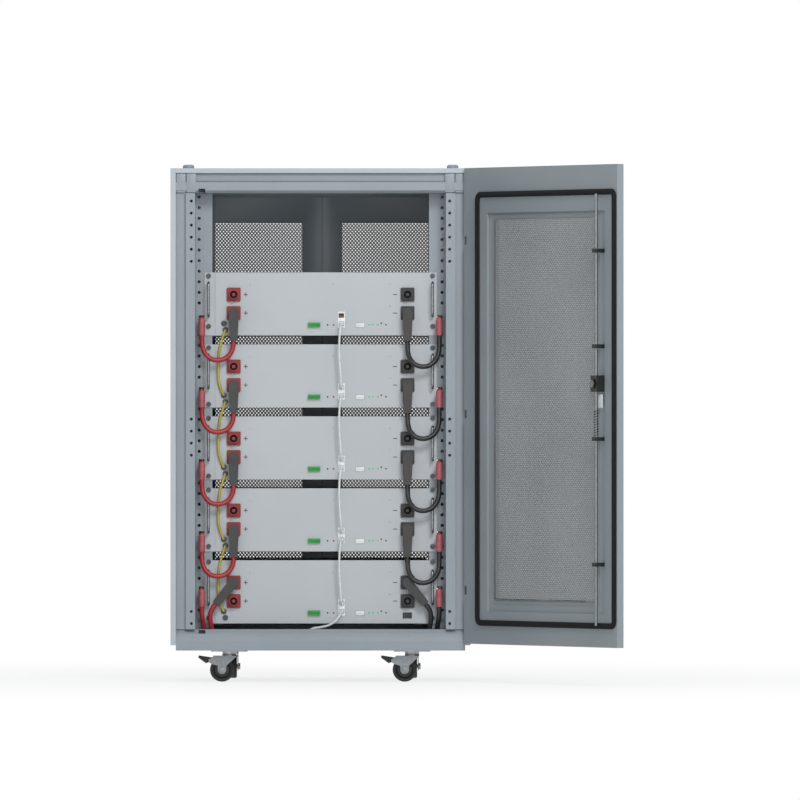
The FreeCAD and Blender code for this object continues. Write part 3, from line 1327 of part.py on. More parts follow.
def build_cables():
    tops = module_tops()
    red = []
    black = []
    for number, (top, foot) in enumerate(zip(tops, boot_feet()), start=1):
        route = low_route if number == MODULE_COUNT else hanging_route
        red.append(cord(route(-1, top, foot), POWER_CABLE_RADIUS, f"positive cable {number}"))
        black.append(cord(route(1, top, foot), POWER_CABLE_RADIUS, f"negative cable {number}"))
    save("positive_cables", red)
    save("negative_cables", black)
    ground = []
    patch = []
    for number in range(MODULE_COUNT - 1):
        pair = (tops[number], tops[number + 1])
        ground.append(cord(ground_route(*pair), GROUND_WIRE_RADIUS, f"ground wire {number + 1}"))
        patch.append(cord(patch_route(*pair), PATCH_CABLE_RADIUS, f"patch cable {number + 1}"))
    patch.append(cord(tail_route(tops[-1]), PATCH_CABLE_RADIUS, "patch cable tail"))
    save("ground_wires", ground)
    save("patch_cables", patch)


def build_front_door():
    save("front_door_pan", [swung(door_pan())])
    save("front_door_mesh", [swung(door_mesh())])
    save("front_door_gasket", [swung(gasket())])
    save("lock_case", [swung(shape) for shape in lock_case()])
    save("upper_lock_rod", [swung(lock_rod(True))])
    save("lower_lock_rod", [swung(lock_rod(False))])
    save("door_handle", [swung(door_handle())])
    hinges = []
    for level in HINGE_LEVELS:
        hinge = door_hinge(level)
        hinges.extend([hinge, backwards(hinge), flipped(backwards(hinge))])
    save("door_hinges", hinges)


def build_rear_doors():
    leaf = rear_door()
    save("rear_door_left", [flipped(leaf)])
    save("rear_door_right", [leaf])


def build_casters():
    plates = []
    for name, x, y, turn in casters():
        plates.append(caster_plate(x, y))
        for kind, shape in (("fork", caster_fork()), ("wheel", caster_wheel())):
            placed = moved(turned(shape, Vector(0, 0, 0), UP, turn), x, y)
            save(f"caster_{kind}_{name}", [placed])
        if name.startswith("front"):
            save(f"brake_pedal_{name}", [moved(brake_pedal(), x, y)])
    save("caster_plates", plates)


def main():
    os.makedirs("parts", exist_ok=True)
    build_cabinet()
    build_modules()
    build_cables()
    build_front_door()
    build_rear_doors()
    build_casters()


main()
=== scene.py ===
"""Server rack battery: a pale grey 19-inch cabinet with five battery modules, seen from the front.

Lengths are in metres, +Z is up and the open front faces -Y. The front door stands open by 120 degrees.
"""
import math

import bmesh
import bpy
from mathutils import Matrix, Vector


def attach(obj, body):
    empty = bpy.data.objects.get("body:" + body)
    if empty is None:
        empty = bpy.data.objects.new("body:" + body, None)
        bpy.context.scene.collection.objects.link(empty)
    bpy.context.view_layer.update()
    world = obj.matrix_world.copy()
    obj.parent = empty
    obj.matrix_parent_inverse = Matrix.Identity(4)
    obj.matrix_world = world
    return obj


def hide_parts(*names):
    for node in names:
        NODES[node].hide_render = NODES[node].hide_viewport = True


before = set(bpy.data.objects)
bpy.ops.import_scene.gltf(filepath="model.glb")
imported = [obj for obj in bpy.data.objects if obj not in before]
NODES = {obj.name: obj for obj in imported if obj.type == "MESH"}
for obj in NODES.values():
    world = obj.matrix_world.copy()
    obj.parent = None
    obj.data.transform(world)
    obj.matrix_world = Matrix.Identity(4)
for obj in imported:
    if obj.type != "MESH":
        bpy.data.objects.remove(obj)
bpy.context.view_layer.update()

MM = 0.001

# Heights and faces that the pieces below share with the solids
MODULE_TOPS = (0.7845, 0.6350, 0.4855, 0.3360, 0.1865)
PANEL_FACE = -0.2450
SOCKET_OFFSET = 0.1805
SOCKET_UPPER_DROP = 0.0460
SOCKET_LOWER_DROP = 0.0845
PLUG_LENGTH = 0.0580
TURNED_PLUG_ANGLE = math.radians(40)
CABLE_FRONT = -0.2644
BOOT_OFFSET = 0.2465
BOOT_FRONT = -0.2674
BOOT_FEET = (0.6535, 0.5040, 0.3545, 0.2050, 0.0905)
POWER_CABLE = 0.0100
GROUND_WIRE = 0.0054
PATCH_CABLE = 0.0048
JACK_ACROSS = 0.0430
JACK_DROP = 0.0980
JACK_SPACING = 0.00825
PATCH_PLUG_REACH = 0.0120
STUD_REACH = 0.0032
STUD_UPPER_DROP = 0.1060
STUD_LOWER_DROP = 0.1190

# The cords' lengths, measured along the solids' routes
POSITIVE_LOOP = 0.129
NEGATIVE_LOOP = 0.158

# The front door, drawn closed and then swung open about its hinge
DOOR_ANGLE = math.radians(120)
HINGE = Vector((0.3065, -0.3151, 0.0))
DOOR_RIGHT = 0.3110
DOOR_INNER = -0.3076
MESH_FLOOR = DOOR_INNER - 0.0060
MESH_THICK = 0.0012
ROD_STATION = 0.5570
ROD_HEIGHT = 0.0135
LOCK_STATION = 0.5530
LOCK_LEVEL = 0.5530
LOCK_REACH = 0.0200

# Near and far side from the door's right edge, then low and high edge
WINDOW = (0.1180, 0.5290, 0.1070, 0.8945)
SEAL_FRAME = (0.0515, 0.6150, 0.0527, 0.9500)

# Near and far side from the seam between the rear leaves, then low and high edge
REAR_WINDOW = (0.0424, 0.2510, 0.1065, 0.8935)
REAR_MARGIN = 0.0020
REAR_MESH_Y = 0.3151

# The foam strip on each rear leaf's meeting edge
STRIP_HALF_DEPTH = 0.0030
STRIP_WIDTH = 0.0004
STRIP_LOW = 0.0160
STRIP_HIGH = 0.9985

# Staggered round perforation, measured from the pattern's repeat in the photograph
HOLE_PITCH = 7.07 * MM
HOLE_ROW = 4.0 * MM
HOLE_RADIUS = 1.55 * MM
HOLE_SIDES = 6

# Keeps a window that holds a whole number of cells from losing one
ROUNDING = 0.001

# The front sheet is drawn this many rows at a time
FIELD_ROWS = 66

# Each caster's place, and whether its fork is turned to trail backwards
CASTERS = (
    ("front_left", -0.190, -0.190, False),
    ("front_right", 0.190, -0.190, False),
    ("rear_left", -0.190, 0.190, True),
    ("rear_right", 0.190, 0.190, True),
)
CASTER_TRAIL = 0.0155
AXLE_HEIGHT = -0.0415


# Colour and node helpers
def linear(code):
    """An sRGB hex colour as linear red, green, blue and alpha."""
    values = []
    for start in (0, 2, 4):
        share = int(code[start:start + 2], 16) / 255
        values.append(share / 12.92 if share <= 0.04045 else ((share + 0.055) / 1.055) ** 2.4)
    return (*values, 1.0)


def add(tree, kind, settings=None, values=None, links=None):
    """A node with its settings, its sockets' values and the links into it."""
    node = tree.nodes.new(kind)
    for name, value in (settings or {}).items():
        setattr(node, name, value)
    for name, value in (values or {}).items():
        node.inputs[name].default_value = value
    for name, source in (links or {}).items():
        tree.links.new(source, node.inputs[name])
    return node


def start_material(name, **values):
    """A material with a shader whose sockets hold those values, and its object coordinates."""
    material = bpy.data.materials.new(name)
    material.use_nodes = True
    tree = material.node_tree
    shader = tree.nodes["Principled BSDF"]
    for socket, value in values.items():
        shader.inputs[socket.replace("_", " ")].default_value = value
    place = add(tree, "ShaderNodeTexCoord").outputs["Object"]
    return material, tree, shader, place


def colour_between(tree, factor, low, high, start=0.0, end=1.0):
    """A colour ramp between two hex colours, from start to end of the factor."""
    ramp = add(tree, "ShaderNodeValToRGB", links={"Fac": factor})
    ramp.color_ramp.elements[0].position = start
    ramp.color_ramp.elements[0].color = linear(low)
    ramp.color_ramp.elements[1].position = end
    ramp.color_ramp.elements[1].color = linear(high)
    return ramp.outputs["Color"]


def number_between(tree, factor, low, high):
    """The factor spread from low to high."""
    spread = add(
        tree, "ShaderNodeMapRange", values={"To Min": low, "To Max": high}, links={"Value": factor})
    return spread.outputs["Result"]


def noise(tree, place, size, detail=3.0, roughness=0.5):
    """Noise whose grains are about that size."""
    node = add(
        tree, "ShaderNodeTexNoise",
        values={"Scale": 1.0 / size, "Detail": detail, "Roughness": roughness}, links={"Vector": place})
    return node.outputs["Fac"]


def bump(tree, shader, height, strength, distance):
    """Relief on the shader's surface."""
    node = add(
        tree, "ShaderNodeBump",
        values={"Strength": strength, "Distance": distance}, links={"Height": height})
    tree.links.new(node.outputs["Normal"], shader.inputs["Normal"])


def vary(tree, shader, factor, low, high, start=0.0, end=1.0):
    """The base colour follows the factor between two hex colours."""
    colour = colour_between(tree, factor, low, high, start, end)
    tree.links.new(colour, shader.inputs["Base Color"])


def vary_roughness(tree, shader, factor, low, high):
    """The roughness follows the factor between two values."""
    tree.links.new(number_between(tree, factor, low, high), shader.inputs["Roughness"])


# Materials
def powder_coat(name, low, high, roughness=0.42):
    """Powder-coated sheet steel: an even satin colour with a faint orange peel, drawn coarser than life."""
    material, tree, shader, place = start_material(name, Metallic=0.0, IOR=1.5)
    cloud = noise(tree, place, 240 * MM, 2.0)
    vary(tree, shader, cloud, low, high, 0.35, 0.65)
    peel = noise(tree, place, 3.5 * MM, 2.0)
    vary_roughness(tree, shader, peel, roughness - 0.05, roughness + 0.07)
    bump(tree, shader, peel, 0.10, 0.3 * MM)
    return material


def moulded_plastic(name, low, high, roughness=0.45, grain=1.2 * MM):
    """Injection-moulded plastic: a fine spark-eroded grain breaks the sheen."""
    material, tree, shader, place = start_material(name, IOR=1.52)
    cloud = noise(tree, place, 20 * MM)
    vary(tree, shader, cloud, low, high, 0.3, 0.7)
    grains = noise(tree, place, grain, 1.0)
    vary_roughness(tree, shader, grains, roughness - 0.06, roughness + 0.08)
    bump(tree, shader, grains, 0.18, 0.15 * MM)
    return material


def cable_jacket(name, low, high, roughness=0.38):
    """Extruded silicone or PVC jacket: soft sheen with slight handling marks along it."""
    material, tree, shader, place = start_material(name, IOR=1.46)
    marks = noise(tree, place, 9 * MM, 4.0)
    vary(tree, shader, marks, low, high, 0.3, 0.75)
    vary_roughness(tree, shader, marks, roughness - 0.08, roughness + 0.12)
    bump(tree, shader, marks, 0.12, 0.2 * MM)
    return material


def plated_steel(name, low, high, roughness=0.32):
    """Bright zinc plating: cloudy crystalline patches over a drawn or rolled grain."""
    material, tree, shader, place = start_material(name, Metallic=1.0)
    patches = noise(tree, place, 7 * MM, 4.0)
    vary(tree, shader, patches, low, high, 0.3, 0.7)
    vary_roughness(tree, shader, patches, roughness - 0.08, roughness + 0.12)
    bump(tree, shader, noise(tree, place, 1.6 * MM, 2.0), 0.08, 0.1 * MM)
    return material


def foam_rubber(name):
    """Closed-cell sealing foam: matt black with small pores, drawn coarser than life."""
    material, tree, shader, place = start_material(name, Roughness=0.9, IOR=1.45, Specular_IOR_Level=0.2)
    pores = add(
        tree, "ShaderNodeTexVoronoi", values={"Scale": 1 / (2.4 * MM)}, links={"Vector": place})
    vary(tree, shader, pores.outputs["Distance"], "121314", "222425", 0.1, 0.7)
    bump(tree, shader, pores.outputs["Distance"], 0.35, 0.3 * MM)
    return material


def tyre_compound(name):
    """Moulded polyurethane tread: near-black and slightly dusty."""
    material, tree, shader, place = start_material(name, IOR=1.5)
    dust = noise(tree, place, 6 * MM, 5.0)
    vary(tree, shader, dust, "161718", "2e3031", 0.35, 0.75)
    vary_roughness(tree, shader, dust, 0.45, 0.75)
    bump(tree, shader, noise(tree, place, 1.2 * MM), 0.2, 0.1 * MM)
    return material


def bare_copper(name):
    """Rolled copper bar: warm metal with darker tarnish."""
    material, tree, shader, place = start_material(name, Metallic=1.0)
    tarnish = noise(tree, place, 18 * MM, 5.0)
    vary(tree, shader, tarnish, "8d5238", "c98a62", 0.3, 0.7)
    vary_roughness(tree, shader, tarnish, 0.25, 0.5)
    return material


def circuit_board(name):
    """Solder-masked glass laminate with a lattice of copper tracks under the mask."""
    material, tree, shader, place = start_material(name, Roughness=0.35, IOR=1.5)
    tracks = add(
        tree, "ShaderNodeTexBrick",
        values={"Scale": 1 / (30 * MM), "Mortar Size": 0.03}, links={"Vector": place})
    vary(tree, shader, tracks.outputs["Fac"], "0f4a2c", "2f7d4c")
    return material


def lamp_lens(name, code, strength):
    """A small lit diffused lens."""
    material, tree, shader, place = start_material(name, Roughness=0.3, IOR=1.5)
    core = noise(tree, place, 2 * MM)
    vary(tree, shader, core, code, code)
    shader.inputs["Emission Color"].default_value = linear(code)
    shader.inputs["Emission Strength"].default_value = strength
    return material


CABINET_PAINT = powder_coat("cabinet_powder_coat", "8f989f", "949da4")
PANEL_PAINT = powder_coat("outer_panel_powder_coat", "b3bbc2", "b7bfc6")
# The door takes the cabinet's paint, drawn a little darker as painted shade for the open door's inner face
DOOR_SHADED_PAINT = powder_coat("door_powder_coat", "8b9499", "90999e")
# The rear leaves take the outer panels' lighter grey, which also serves as painted light in the shaded
# inside of the cabinet
REAR_LIGHTENED_PAINT = powder_coat("rear_door_powder_coat", "abb4bb", "afb8bf")
MESH_PAINT = powder_coat("perforated_sheet_coat", "84898c", "8d9295", 0.5)
# The rear perforated sheet is drawn lighter than the door's sheet, as painted light in the shaded inside of
# the cabinet
REAR_LIGHTENED_MESH_PAINT = powder_coat("rear_perforated_sheet_coat", "a4a9ac", "adb2b5", 0.5)
MODULE_PAINT = powder_coat("module_powder_coat", "b6bbbf", "babfc3")
RED_PLASTIC = moulded_plastic("red_connector_polyamide", "7f1315", "921d1e", 0.45)
BLACK_PLASTIC = moulded_plastic("black_polyamide", "131415", "1f2122", 0.45)
PLUG_PLASTIC = moulded_plastic("grey_plug_polyamide", "2c2c2d", "373738", 0.55)
GREEN_PLASTIC = moulded_plastic("green_terminal_polyamide", "0f8a30", "18a040", 0.4)
WHITE_PLASTIC = moulded_plastic("white_polycarbonate", "d6dada", "e6e9e9", 0.35)
INSULATOR_RESIN = moulded_plastic("red_insulator_resin", "8e2318", "a12c1e", 0.4)
RED_JACKET = cable_jacket("red_silicone_jacket", "94202a", "ad3038")
BLACK_JACKET = cable_jacket("black_silicone_jacket", "151617", "272a2b")
BOOT_VINYL = cable_jacket("red_vinyl_boot", "a04e56", "b4626a", 0.45)
EARTH_JACKET = cable_jacket("yellow_green_earth_jacket", "a8983c", "c4b452", 0.4)
PATCH_JACKET = cable_jacket("white_patch_jacket", "ced3d3", "e4e7e7", 0.4)
ZINC = plated_steel("bright_zinc_plating", "8f9396", "bcc0c2")
DULL_ZINC = plated_steel("black_zinc_plating", "3c4043", "5a5e61", 0.5)
SATIN_STEEL = plated_steel("satin_steel", "777b7e", "8d9194", 0.4)
# Chrome drawn dark as painted shade: the handles lie in shadow, and bright chrome would mirror the white
# world
SHADED_CHROME = plated_steel("polished_chrome", "6f7376", "8e9295", 0.2)
FOAM = foam_rubber("sealing_foam")
TYRE = tyre_compound("caster_tread")
COPPER = bare_copper("rolled_copper")
CELL_FILM = moulded_plastic("blue_cell_film", "1c3f86", "244c98", 0.3)
BOARD = circuit_board("circuit_board_laminate")
INK = moulded_plastic("dark_printed_ink", "2b2f33", "34383c", 0.6)
GREEN_LAMP = lamp_lens("green_lamp_lens", "3fae57", 0.25)


def dress(node, material):
    """The CAD node keeps its shape and gets a finished material."""
    mesh = NODES[node].data
    mesh.materials.clear()
    mesh.materials.append(material)


DRESSED = {
    "mounting_rails": CABINET_PAINT,
    "depth_braces": CABINET_PAINT,
    "support_angles": CABINET_PAINT,
    "module_cases": MODULE_PAINT,
    "module_ears": MODULE_PAINT,
    "module_handles": SHADED_CHROME,
    "ear_screws": DULL_ZINC,
    "cell_packs": CELL_FILM,
    "battery_boards": BOARD,
    "positive_sockets": RED_PLASTIC,
    "negative_sockets": BLACK_PLASTIC,
    "signal_jacks": ZINC,
    "dry_contact_terminals": GREEN_PLASTIC,
    "ground_studs": DULL_ZINC,
    "patch_plugs": WHITE_PLASTIC,
    "cable_boots": BOOT_VINYL,
    "busbars": COPPER,
    "busbar_insulators": INSULATOR_RESIN,
    "door_hinges": DULL_ZINC,
    "caster_plates": ZINC,
    "roof_fans": BLACK_PLASTIC,
    "fan_rotor_left": BLACK_PLASTIC,
    "fan_rotor_right": BLACK_PLASTIC,
    "upper_lock_rod": SATIN_STEEL,
    "lower_lock_rod": SATIN_STEEL,
}
for number in range(1, 6):
    DRESSED[f"power_rocker_{number}"] = BLACK_PLASTIC
for cad_node, finish in DRESSED.items():
    dress(cad_node, finish)


# Points this close are welded, faces this level are joined, and edges sharper than this are rounded over
WELD = 0.002 * MM
FLAT_ANGLE = math.radians(0.5)
SHARP_ANGLE = math.radians(40)

# Faces larger than this are shaded flat
FLAT_FACE = 300 * MM * MM


# Mesh helpers
def new_piece(name, mesh, material, body):
    """A piece of that material in the scene and on its body."""
    piece = bpy.data.objects.new(name, mesh)
    bpy.context.scene.collection.objects.link(piece)
    mesh.materials.clear()
    mesh.materials.append(material)
    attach(piece, body)
    return piece


def mesh_of(shape, name, smooth_angle=35):
    """A plain mesh from a bmesh, smooth except across edges sharper than the angle."""
    mesh = bpy.data.meshes.new(name)
    shape.to_mesh(mesh)
    shape.free()
    mesh.shade_smooth()
    mesh.set_sharp_from_angle(angle=math.radians(smooth_angle))
    return mesh


def merged_copy(node):
    """The node's solid as one welded shape with its flat faces joined."""
    shape = bmesh.new()
    shape.from_mesh(NODES[node].data)
    bmesh.ops.remove_doubles(shape, verts=shape.verts, dist=WELD)
    bmesh.ops.dissolve_limit(shape, angle_limit=FLAT_ANGLE, verts=shape.verts, edges=shape.edges)
    return shape


def soften(node, width, material, body):
    """The node's solid with its pressed or moulded edges rounded over."""
    shape = merged_copy(node)
    edges = []
    for edge in shape.edges:
        if len(edge.link_faces) == 2 and edge.is_convex and edge.calc_face_angle(0) > SHARP_ANGLE:
            edges.append(edge)
    bmesh.ops.bevel(
        shape, geom=edges, offset=width, segments=2, profile=0.6, affect="EDGES", clamp_overlap=True)
    mesh = mesh_of(shape, f"{node}_edged")
    for polygon in mesh.polygons:
        if polygon.area > FLAT_FACE:
            polygon.use_smooth = False
    piece = new_piece(f"{node}_edged", mesh, material, body)
    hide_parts(node)
    return piece


def swing(mesh):
    """Turns a mesh that is drawn on the closed door to where the open door stands."""
    turn = Matrix.Translation(HINGE) @ Matrix.Rotation(DOOR_ANGLE, 4, "Z") @ Matrix.Translation(-HINGE)
    mesh.transform(turn)


def add_box(shape, low, high):
    """A box in the shape, from its low corner to its high corner."""
    size = [high[i] - low[i] for i in range(3)]
    middle = [(high[i] + low[i]) / 2 for i in range(3)]
    matrix = Matrix.Translation(middle) @ Matrix.Diagonal((*size, 1.0))
    return bmesh.ops.create_cube(shape, size=1.0, matrix=matrix)["verts"]


def rounded_box(shape, low, high, radius):
    """A box in the shape with all its edges rounded over."""
    verts = add_box(shape, low, high)
    edges = list({edge for vert in verts for edge in vert.link_edges})
    bmesh.ops.bevel(shape, geom=edges, offset=radius, segments=2, profile=0.5, affect="EDGES")


def join_rings(shape, ring, after):
    """Faces between two rings of points, all the way round."""
    for index in range(len(ring)):
        following = (index + 1) % len(ring)
        shape.faces.new((ring[index], ring[following], after[following], after[index]))


def lathe(profile, centre, axis, segments=48):
    """A closed ring of that radius and offset profile, round an axis through the centre."""
    shape = bmesh.new()
    axis = Vector(axis)
    side = Vector((0, 0, 1))
    other = axis.cross(side)
    rings = []
    for step in range(segments):
        angle = 2 * math.pi * step / segments
        radial = side * math.cos(angle) + other * math.sin(angle)
        ring = []
        for radius, along in profile:
            ring.append(shape.verts.new(Vector(centre) + axis * along + radial * radius))
        rings.append(ring)
    for step in range(segments):
        join_rings(shape, rings[step], rings[(step + 1) % segments])
    bmesh.ops.recalc_face_normals(shape, faces=shape.faces)
    return shape


def tree_mesh(name, tree, values):
    """Runs a geometry tree with those named inputs on an empty carrier and keeps the result as a mesh."""
    carrier = bpy.data.objects.new(f"{name}_carrier", bpy.data.meshes.new(f"{name}_carrier"))
    bpy.context.scene.collection.objects.link(carrier)
    modifier = carrier.modifiers.new("repeat", "NODES")
    modifier.node_group = tree
    for item in tree.interface.items_tree:
        if item.item_type == "SOCKET" and item.in_out == "INPUT" and item.name in values:
            modifier[item.identifier] = values[item.name]
    bpy.context.view_layer.update()
    ready = carrier.evaluated_get(bpy.context.evaluated_depsgraph_get())
    mesh = bpy.data.meshes.new_from_object(ready)
    bpy.data.objects.remove(carrier)
    mesh.name = name
    return mesh


def start_tree(name, inputs):
    """An empty geometry tree with those inputs, and its input and output nodes."""
    tree = bpy.data.node_groups.new(name, "GeometryNodeTree")
    for label, kind in inputs:
        tree.interface.new_socket(label, in_out="INPUT", socket_type=kind)
    tree.interface.new_socket("Geometry", in_out="OUTPUT", socket_type="NodeSocketGeometry")
    return tree, add(tree, "NodeGroupInput"), add(tree, "NodeGroupOutput")


def finish_tree(tree, given, out, points):
    """The tile on every point, made real and given its material."""
    tile = add(tree, "GeometryNodeObjectInfo", links={"Object": given.outputs["Tile"]})
    tiles = add(
        tree, "GeometryNodeInstanceOnPoints",
        links={"Points": points, "Instance": tile.outputs["Geometry"]})
    real = add(tree, "GeometryNodeRealizeInstances", links={"Geometry": tiles.outputs["Instances"]})
    painted = add(
        tree, "GeometryNodeSetMaterial",
        links={"Geometry": real.outputs["Geometry"], "Material": given.outputs["Material"]})
    tree.links.new(painted.outputs["Geometry"], out.inputs["Geometry"])
    return tree


def arithmetic(tree, operation, values, links):
    """The result of one arithmetic node; its values and links are by the input's number."""
    return add(tree, "ShaderNodeMath", {"operation": operation}, values, links).outputs[0]


def staggered_tree():
    """Tiles in rows, every second row moved sideways by half the pitch."""
    tree, given, out = start_tree("staggered_perforation", (
        ("Tile", "NodeSocketObject"), ("Material", "NodeSocketMaterial"), ("Across", "NodeSocketInt"),
        ("Rows", "NodeSocketInt"), ("Pitch", "NodeSocketFloat"), ("Row Height", "NodeSocketFloat")))
    spans = {}
    for axis, count, step in (("x", "Across", "Pitch"), ("y", "Rows", "Row Height")):
        less = arithmetic(tree, "SUBTRACT", {1: 1.0}, {0: given.outputs[count]})
        spans[axis] = arithmetic(tree, "MULTIPLY", None, {0: less, 1: given.outputs[step]})
    grid = add(
        tree, "GeometryNodeMeshGrid", links={
            "Size X": spans["x"], "Size Y": spans["y"],
            "Vertices X": given.outputs["Across"], "Vertices Y": given.outputs["Rows"]})
    place = add(tree, "GeometryNodeInputPosition").outputs["Position"]
    height = add(tree, "ShaderNodeSeparateXYZ", links={"Vector": place}).outputs["Y"]
    from_low = arithmetic(tree, "MULTIPLY_ADD", {1: 0.5}, {0: spans["y"], 2: height})
    row = arithmetic(tree, "DIVIDE", None, {0: from_low, 1: given.outputs["Row Height"]})
    near = arithmetic(tree, "ROUND", None, {0: row})
    odd = arithmetic(tree, "FLOORED_MODULO", {1: 2.0}, {0: near})
    half = arithmetic(tree, "MULTIPLY", {1: 0.5}, {0: given.outputs["Pitch"]})
    shift = arithmetic(tree, "MULTIPLY", None, {0: odd, 1: half})
    offset = add(tree, "ShaderNodeCombineXYZ", links={"X": shift}).outputs["Vector"]
    moved = add(
        tree, "GeometryNodeSetPosition", links={"Geometry": grid.outputs["Mesh"], "Offset": offset})
    return finish_tree(tree, given, out, moved.outputs["Geometry"])


def scattered_tree():
    """A tile on every vertex of a carrier shape."""
    tree, given, out = start_tree("repeated_fitting", (
        ("Tile", "NodeSocketObject"), ("Places", "NodeSocketObject"), ("Material", "NodeSocketMaterial")))
    places = add(tree, "GeometryNodeObjectInfo", links={"Object": given.outputs["Places"]})
    return finish_tree(tree, given, out, places.outputs["Geometry"])


STAGGERED = staggered_tree()
SCATTERED = scattered_tree()


def loose_object(name, mesh):
    """An object that only serves a geometry tree and is removed after it."""
    holder = bpy.data.objects.new(name, mesh)
    bpy.context.scene.collection.objects.link(holder)
    return holder


def hole_tile(thick):
    """The six-sided cell of the staggered pattern with its hole, lying flat with its face up."""
    half = HOLE_PITCH / 2
    rise = (half * half + HOLE_ROW * HOLE_ROW) / (2 * HOLE_ROW)
    waist = (half * half + HOLE_ROW * HOLE_ROW - 2 * half * half) / (2 * HOLE_ROW)
    outline = [(half, waist), (0, rise), (-half, waist), (-half, -waist), (0, -rise), (half, -waist)]
    shape = bmesh.new()
    rings = []
    for height in (thick / 2, -thick / 2):
        outer = [shape.verts.new((x, y, height)) for x, y in outline]
        inner = []
        for step in range(HOLE_SIDES):
            angle = math.radians(30 + 60 * step)
            place = (HOLE_RADIUS * math.cos(angle), HOLE_RADIUS * math.sin(angle), height)
            inner.append(shape.verts.new(place))
        rings.append((outer, inner))
    (top_out, top_in), (low_out, low_in) = rings
    for step in range(HOLE_SIDES):
        after = (step + 1) % HOLE_SIDES
        shape.faces.new((top_out[step], top_out[after], top_in[after], top_in[step]))
        shape.faces.new((low_out[after], low_out[step], low_in[step], low_in[after]))
        shape.faces.new((top_in[step], top_in[after], low_in[after], low_in[step]))
    mesh = bpy.data.meshes.new("hole_tile")
    shape.to_mesh(mesh)
    shape.free()
    return loose_object("hole_tile", mesh)


def perforated(name, x0, x1, z0, z1, y, material):
    """A perforated field in the plane at y: whole cells that fill the window and a little more.

    It is moved back by a quarter of the pitch, because every second row stands half a pitch to the right.
    """
    across = int((x1 - x0) / HOLE_PITCH + ROUNDING) + 1
    rows = int((z1 - z0) / HOLE_ROW + ROUNDING) + 1
    tile = hole_tile(MESH_THICK)
    mesh = tree_mesh(name, STAGGERED, {
        "Tile": tile, "Material": material, "Across": across, "Rows": rows,
        "Pitch": HOLE_PITCH, "Row Height": HOLE_ROW})
    bpy.data.objects.remove(tile)
    centre = Vector(((x0 + x1) / 2 - HOLE_PITCH / 4, y, (z0 + z1) / 2))
    mesh.transform(Matrix.Translation(centre) @ Matrix.Rotation(math.radians(90), 4, "X"))
    return mesh


def repeated(name, tile_mesh, places, material):
    """One small fitting at each of the places, as one mesh."""
    tile = loose_object(f"{name}_tile", tile_mesh)
    spots = bpy.data.meshes.new(f"{name}_places")
    spots.from_pydata([tuple(place) for place in places], [], [])
    holder = loose_object(f"{name}_places", spots)
    mesh = tree_mesh(name, SCATTERED, {"Tile": tile, "Places": holder, "Material": material})
    bpy.data.objects.remove(tile)
    bpy.data.objects.remove(holder)
    return mesh


def rod_spring():
    """The dark coil spring round the lower lock rod, between its guide and the catch plate."""
    centre = Vector((DOOR_RIGHT - ROD_STATION, DOOR_INNER + ROD_HEIGHT, 0.0))
    low = 0.4460
    high = 0.5000
    coil_radius = 0.0046
    wire_radius = 0.0007
    turn_steps = 12
    total = 10 * turn_steps
    wire_sides = 6
    shape = bmesh.new()
    rings = []
    for step in range(total + 1):
        angle = 2 * math.pi * step / turn_steps
        out = Vector((math.cos(angle), math.sin(angle), 0.0))
        middle = centre + out * coil_radius + Vector((0, 0, low + (high - low) * step / total))
        ring = []
        for side in range(wire_sides):
            turn = 2 * math.pi * side / wire_sides
            rise = Vector((0, 0, wire_radius * math.sin(turn)))
            ring.append(shape.verts.new(middle + out * wire_radius * math.cos(turn) + rise))
        rings.append(ring)
    for ring, after in zip(rings, rings[1:]):
        join_rings(shape, ring, after)
    shape.faces.new(rings[0])
    shape.faces.new(rings[-1])
    bmesh.ops.recalc_face_normals(shape, faces=shape.faces)
    mesh = mesh_of(shape, "rod_spring", 65)
    swing(mesh)
    new_piece("rod_spring", mesh, DULL_ZINC, "front_door")


def corner_castings():
    """The posts' folded profile carried on over the ends of the top beam."""
    low = 0.9497
    high = 0.9890
    back = -0.2890
    edge_radius = 0.0008
    shape = bmesh.new()
    for side in (-1, 1):
        for near, far, front in ((0.2585, 0.2780, -0.3003), (0.2795, 0.2990, -0.2985)):
            xs = sorted((side * near, side * far))
            rounded_box(shape, (xs[0], front, low), (xs[1], back, high), edge_radius)
    mesh = mesh_of(shape, "beam_corner_castings")
    new_piece("beam_corner_castings", mesh, CABINET_PAINT, "cabinet")


# Camera
def place_camera():
    """The camera, straight in front of the cabinet and far away, as in the photograph."""
    data = bpy.data.cameras.new("photo_camera")
    data.sensor_width = 36.0
    data.lens = 644.7
    data.clip_start = 1.0
    data.clip_end = 200.0
    camera = bpy.data.objects.new("photo_camera", data)
    camera.location = (0.1648, -30.0, 0.5195)
    camera.rotation_euler = (math.radians(90), 0, 0)
    bpy.context.scene.collection.objects.link(camera)
    bpy.context.scene.camera = camera


# Cords: their points are those of the solids' routes
def lay_cord(name, points, diameter, material, node):
    """A round cord through those points."""
    curve = bpy.data.curves.new(name, "CURVE")
    curve.dimensions = "3D"
    spline = curve.splines.new("NURBS")
    spline.points.add(len(points) - 1)
    for point, place in zip(spline.points, points):
        point.co = (*place, 1.0)
    spline.order_u = 3
    spline.use_endpoint_u = True
    curve.resolution_u = 10
    curve.bevel_depth = diameter / 2
    curve.bevel_resolution = 5
    curve.use_fill_caps = True
    curve.materials.append(material)
    piece = bpy.data.objects.new(name, curve)
    bpy.context.scene.collection.objects.link(piece)
    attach(piece, "cabinet")
    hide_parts(node)
    return piece


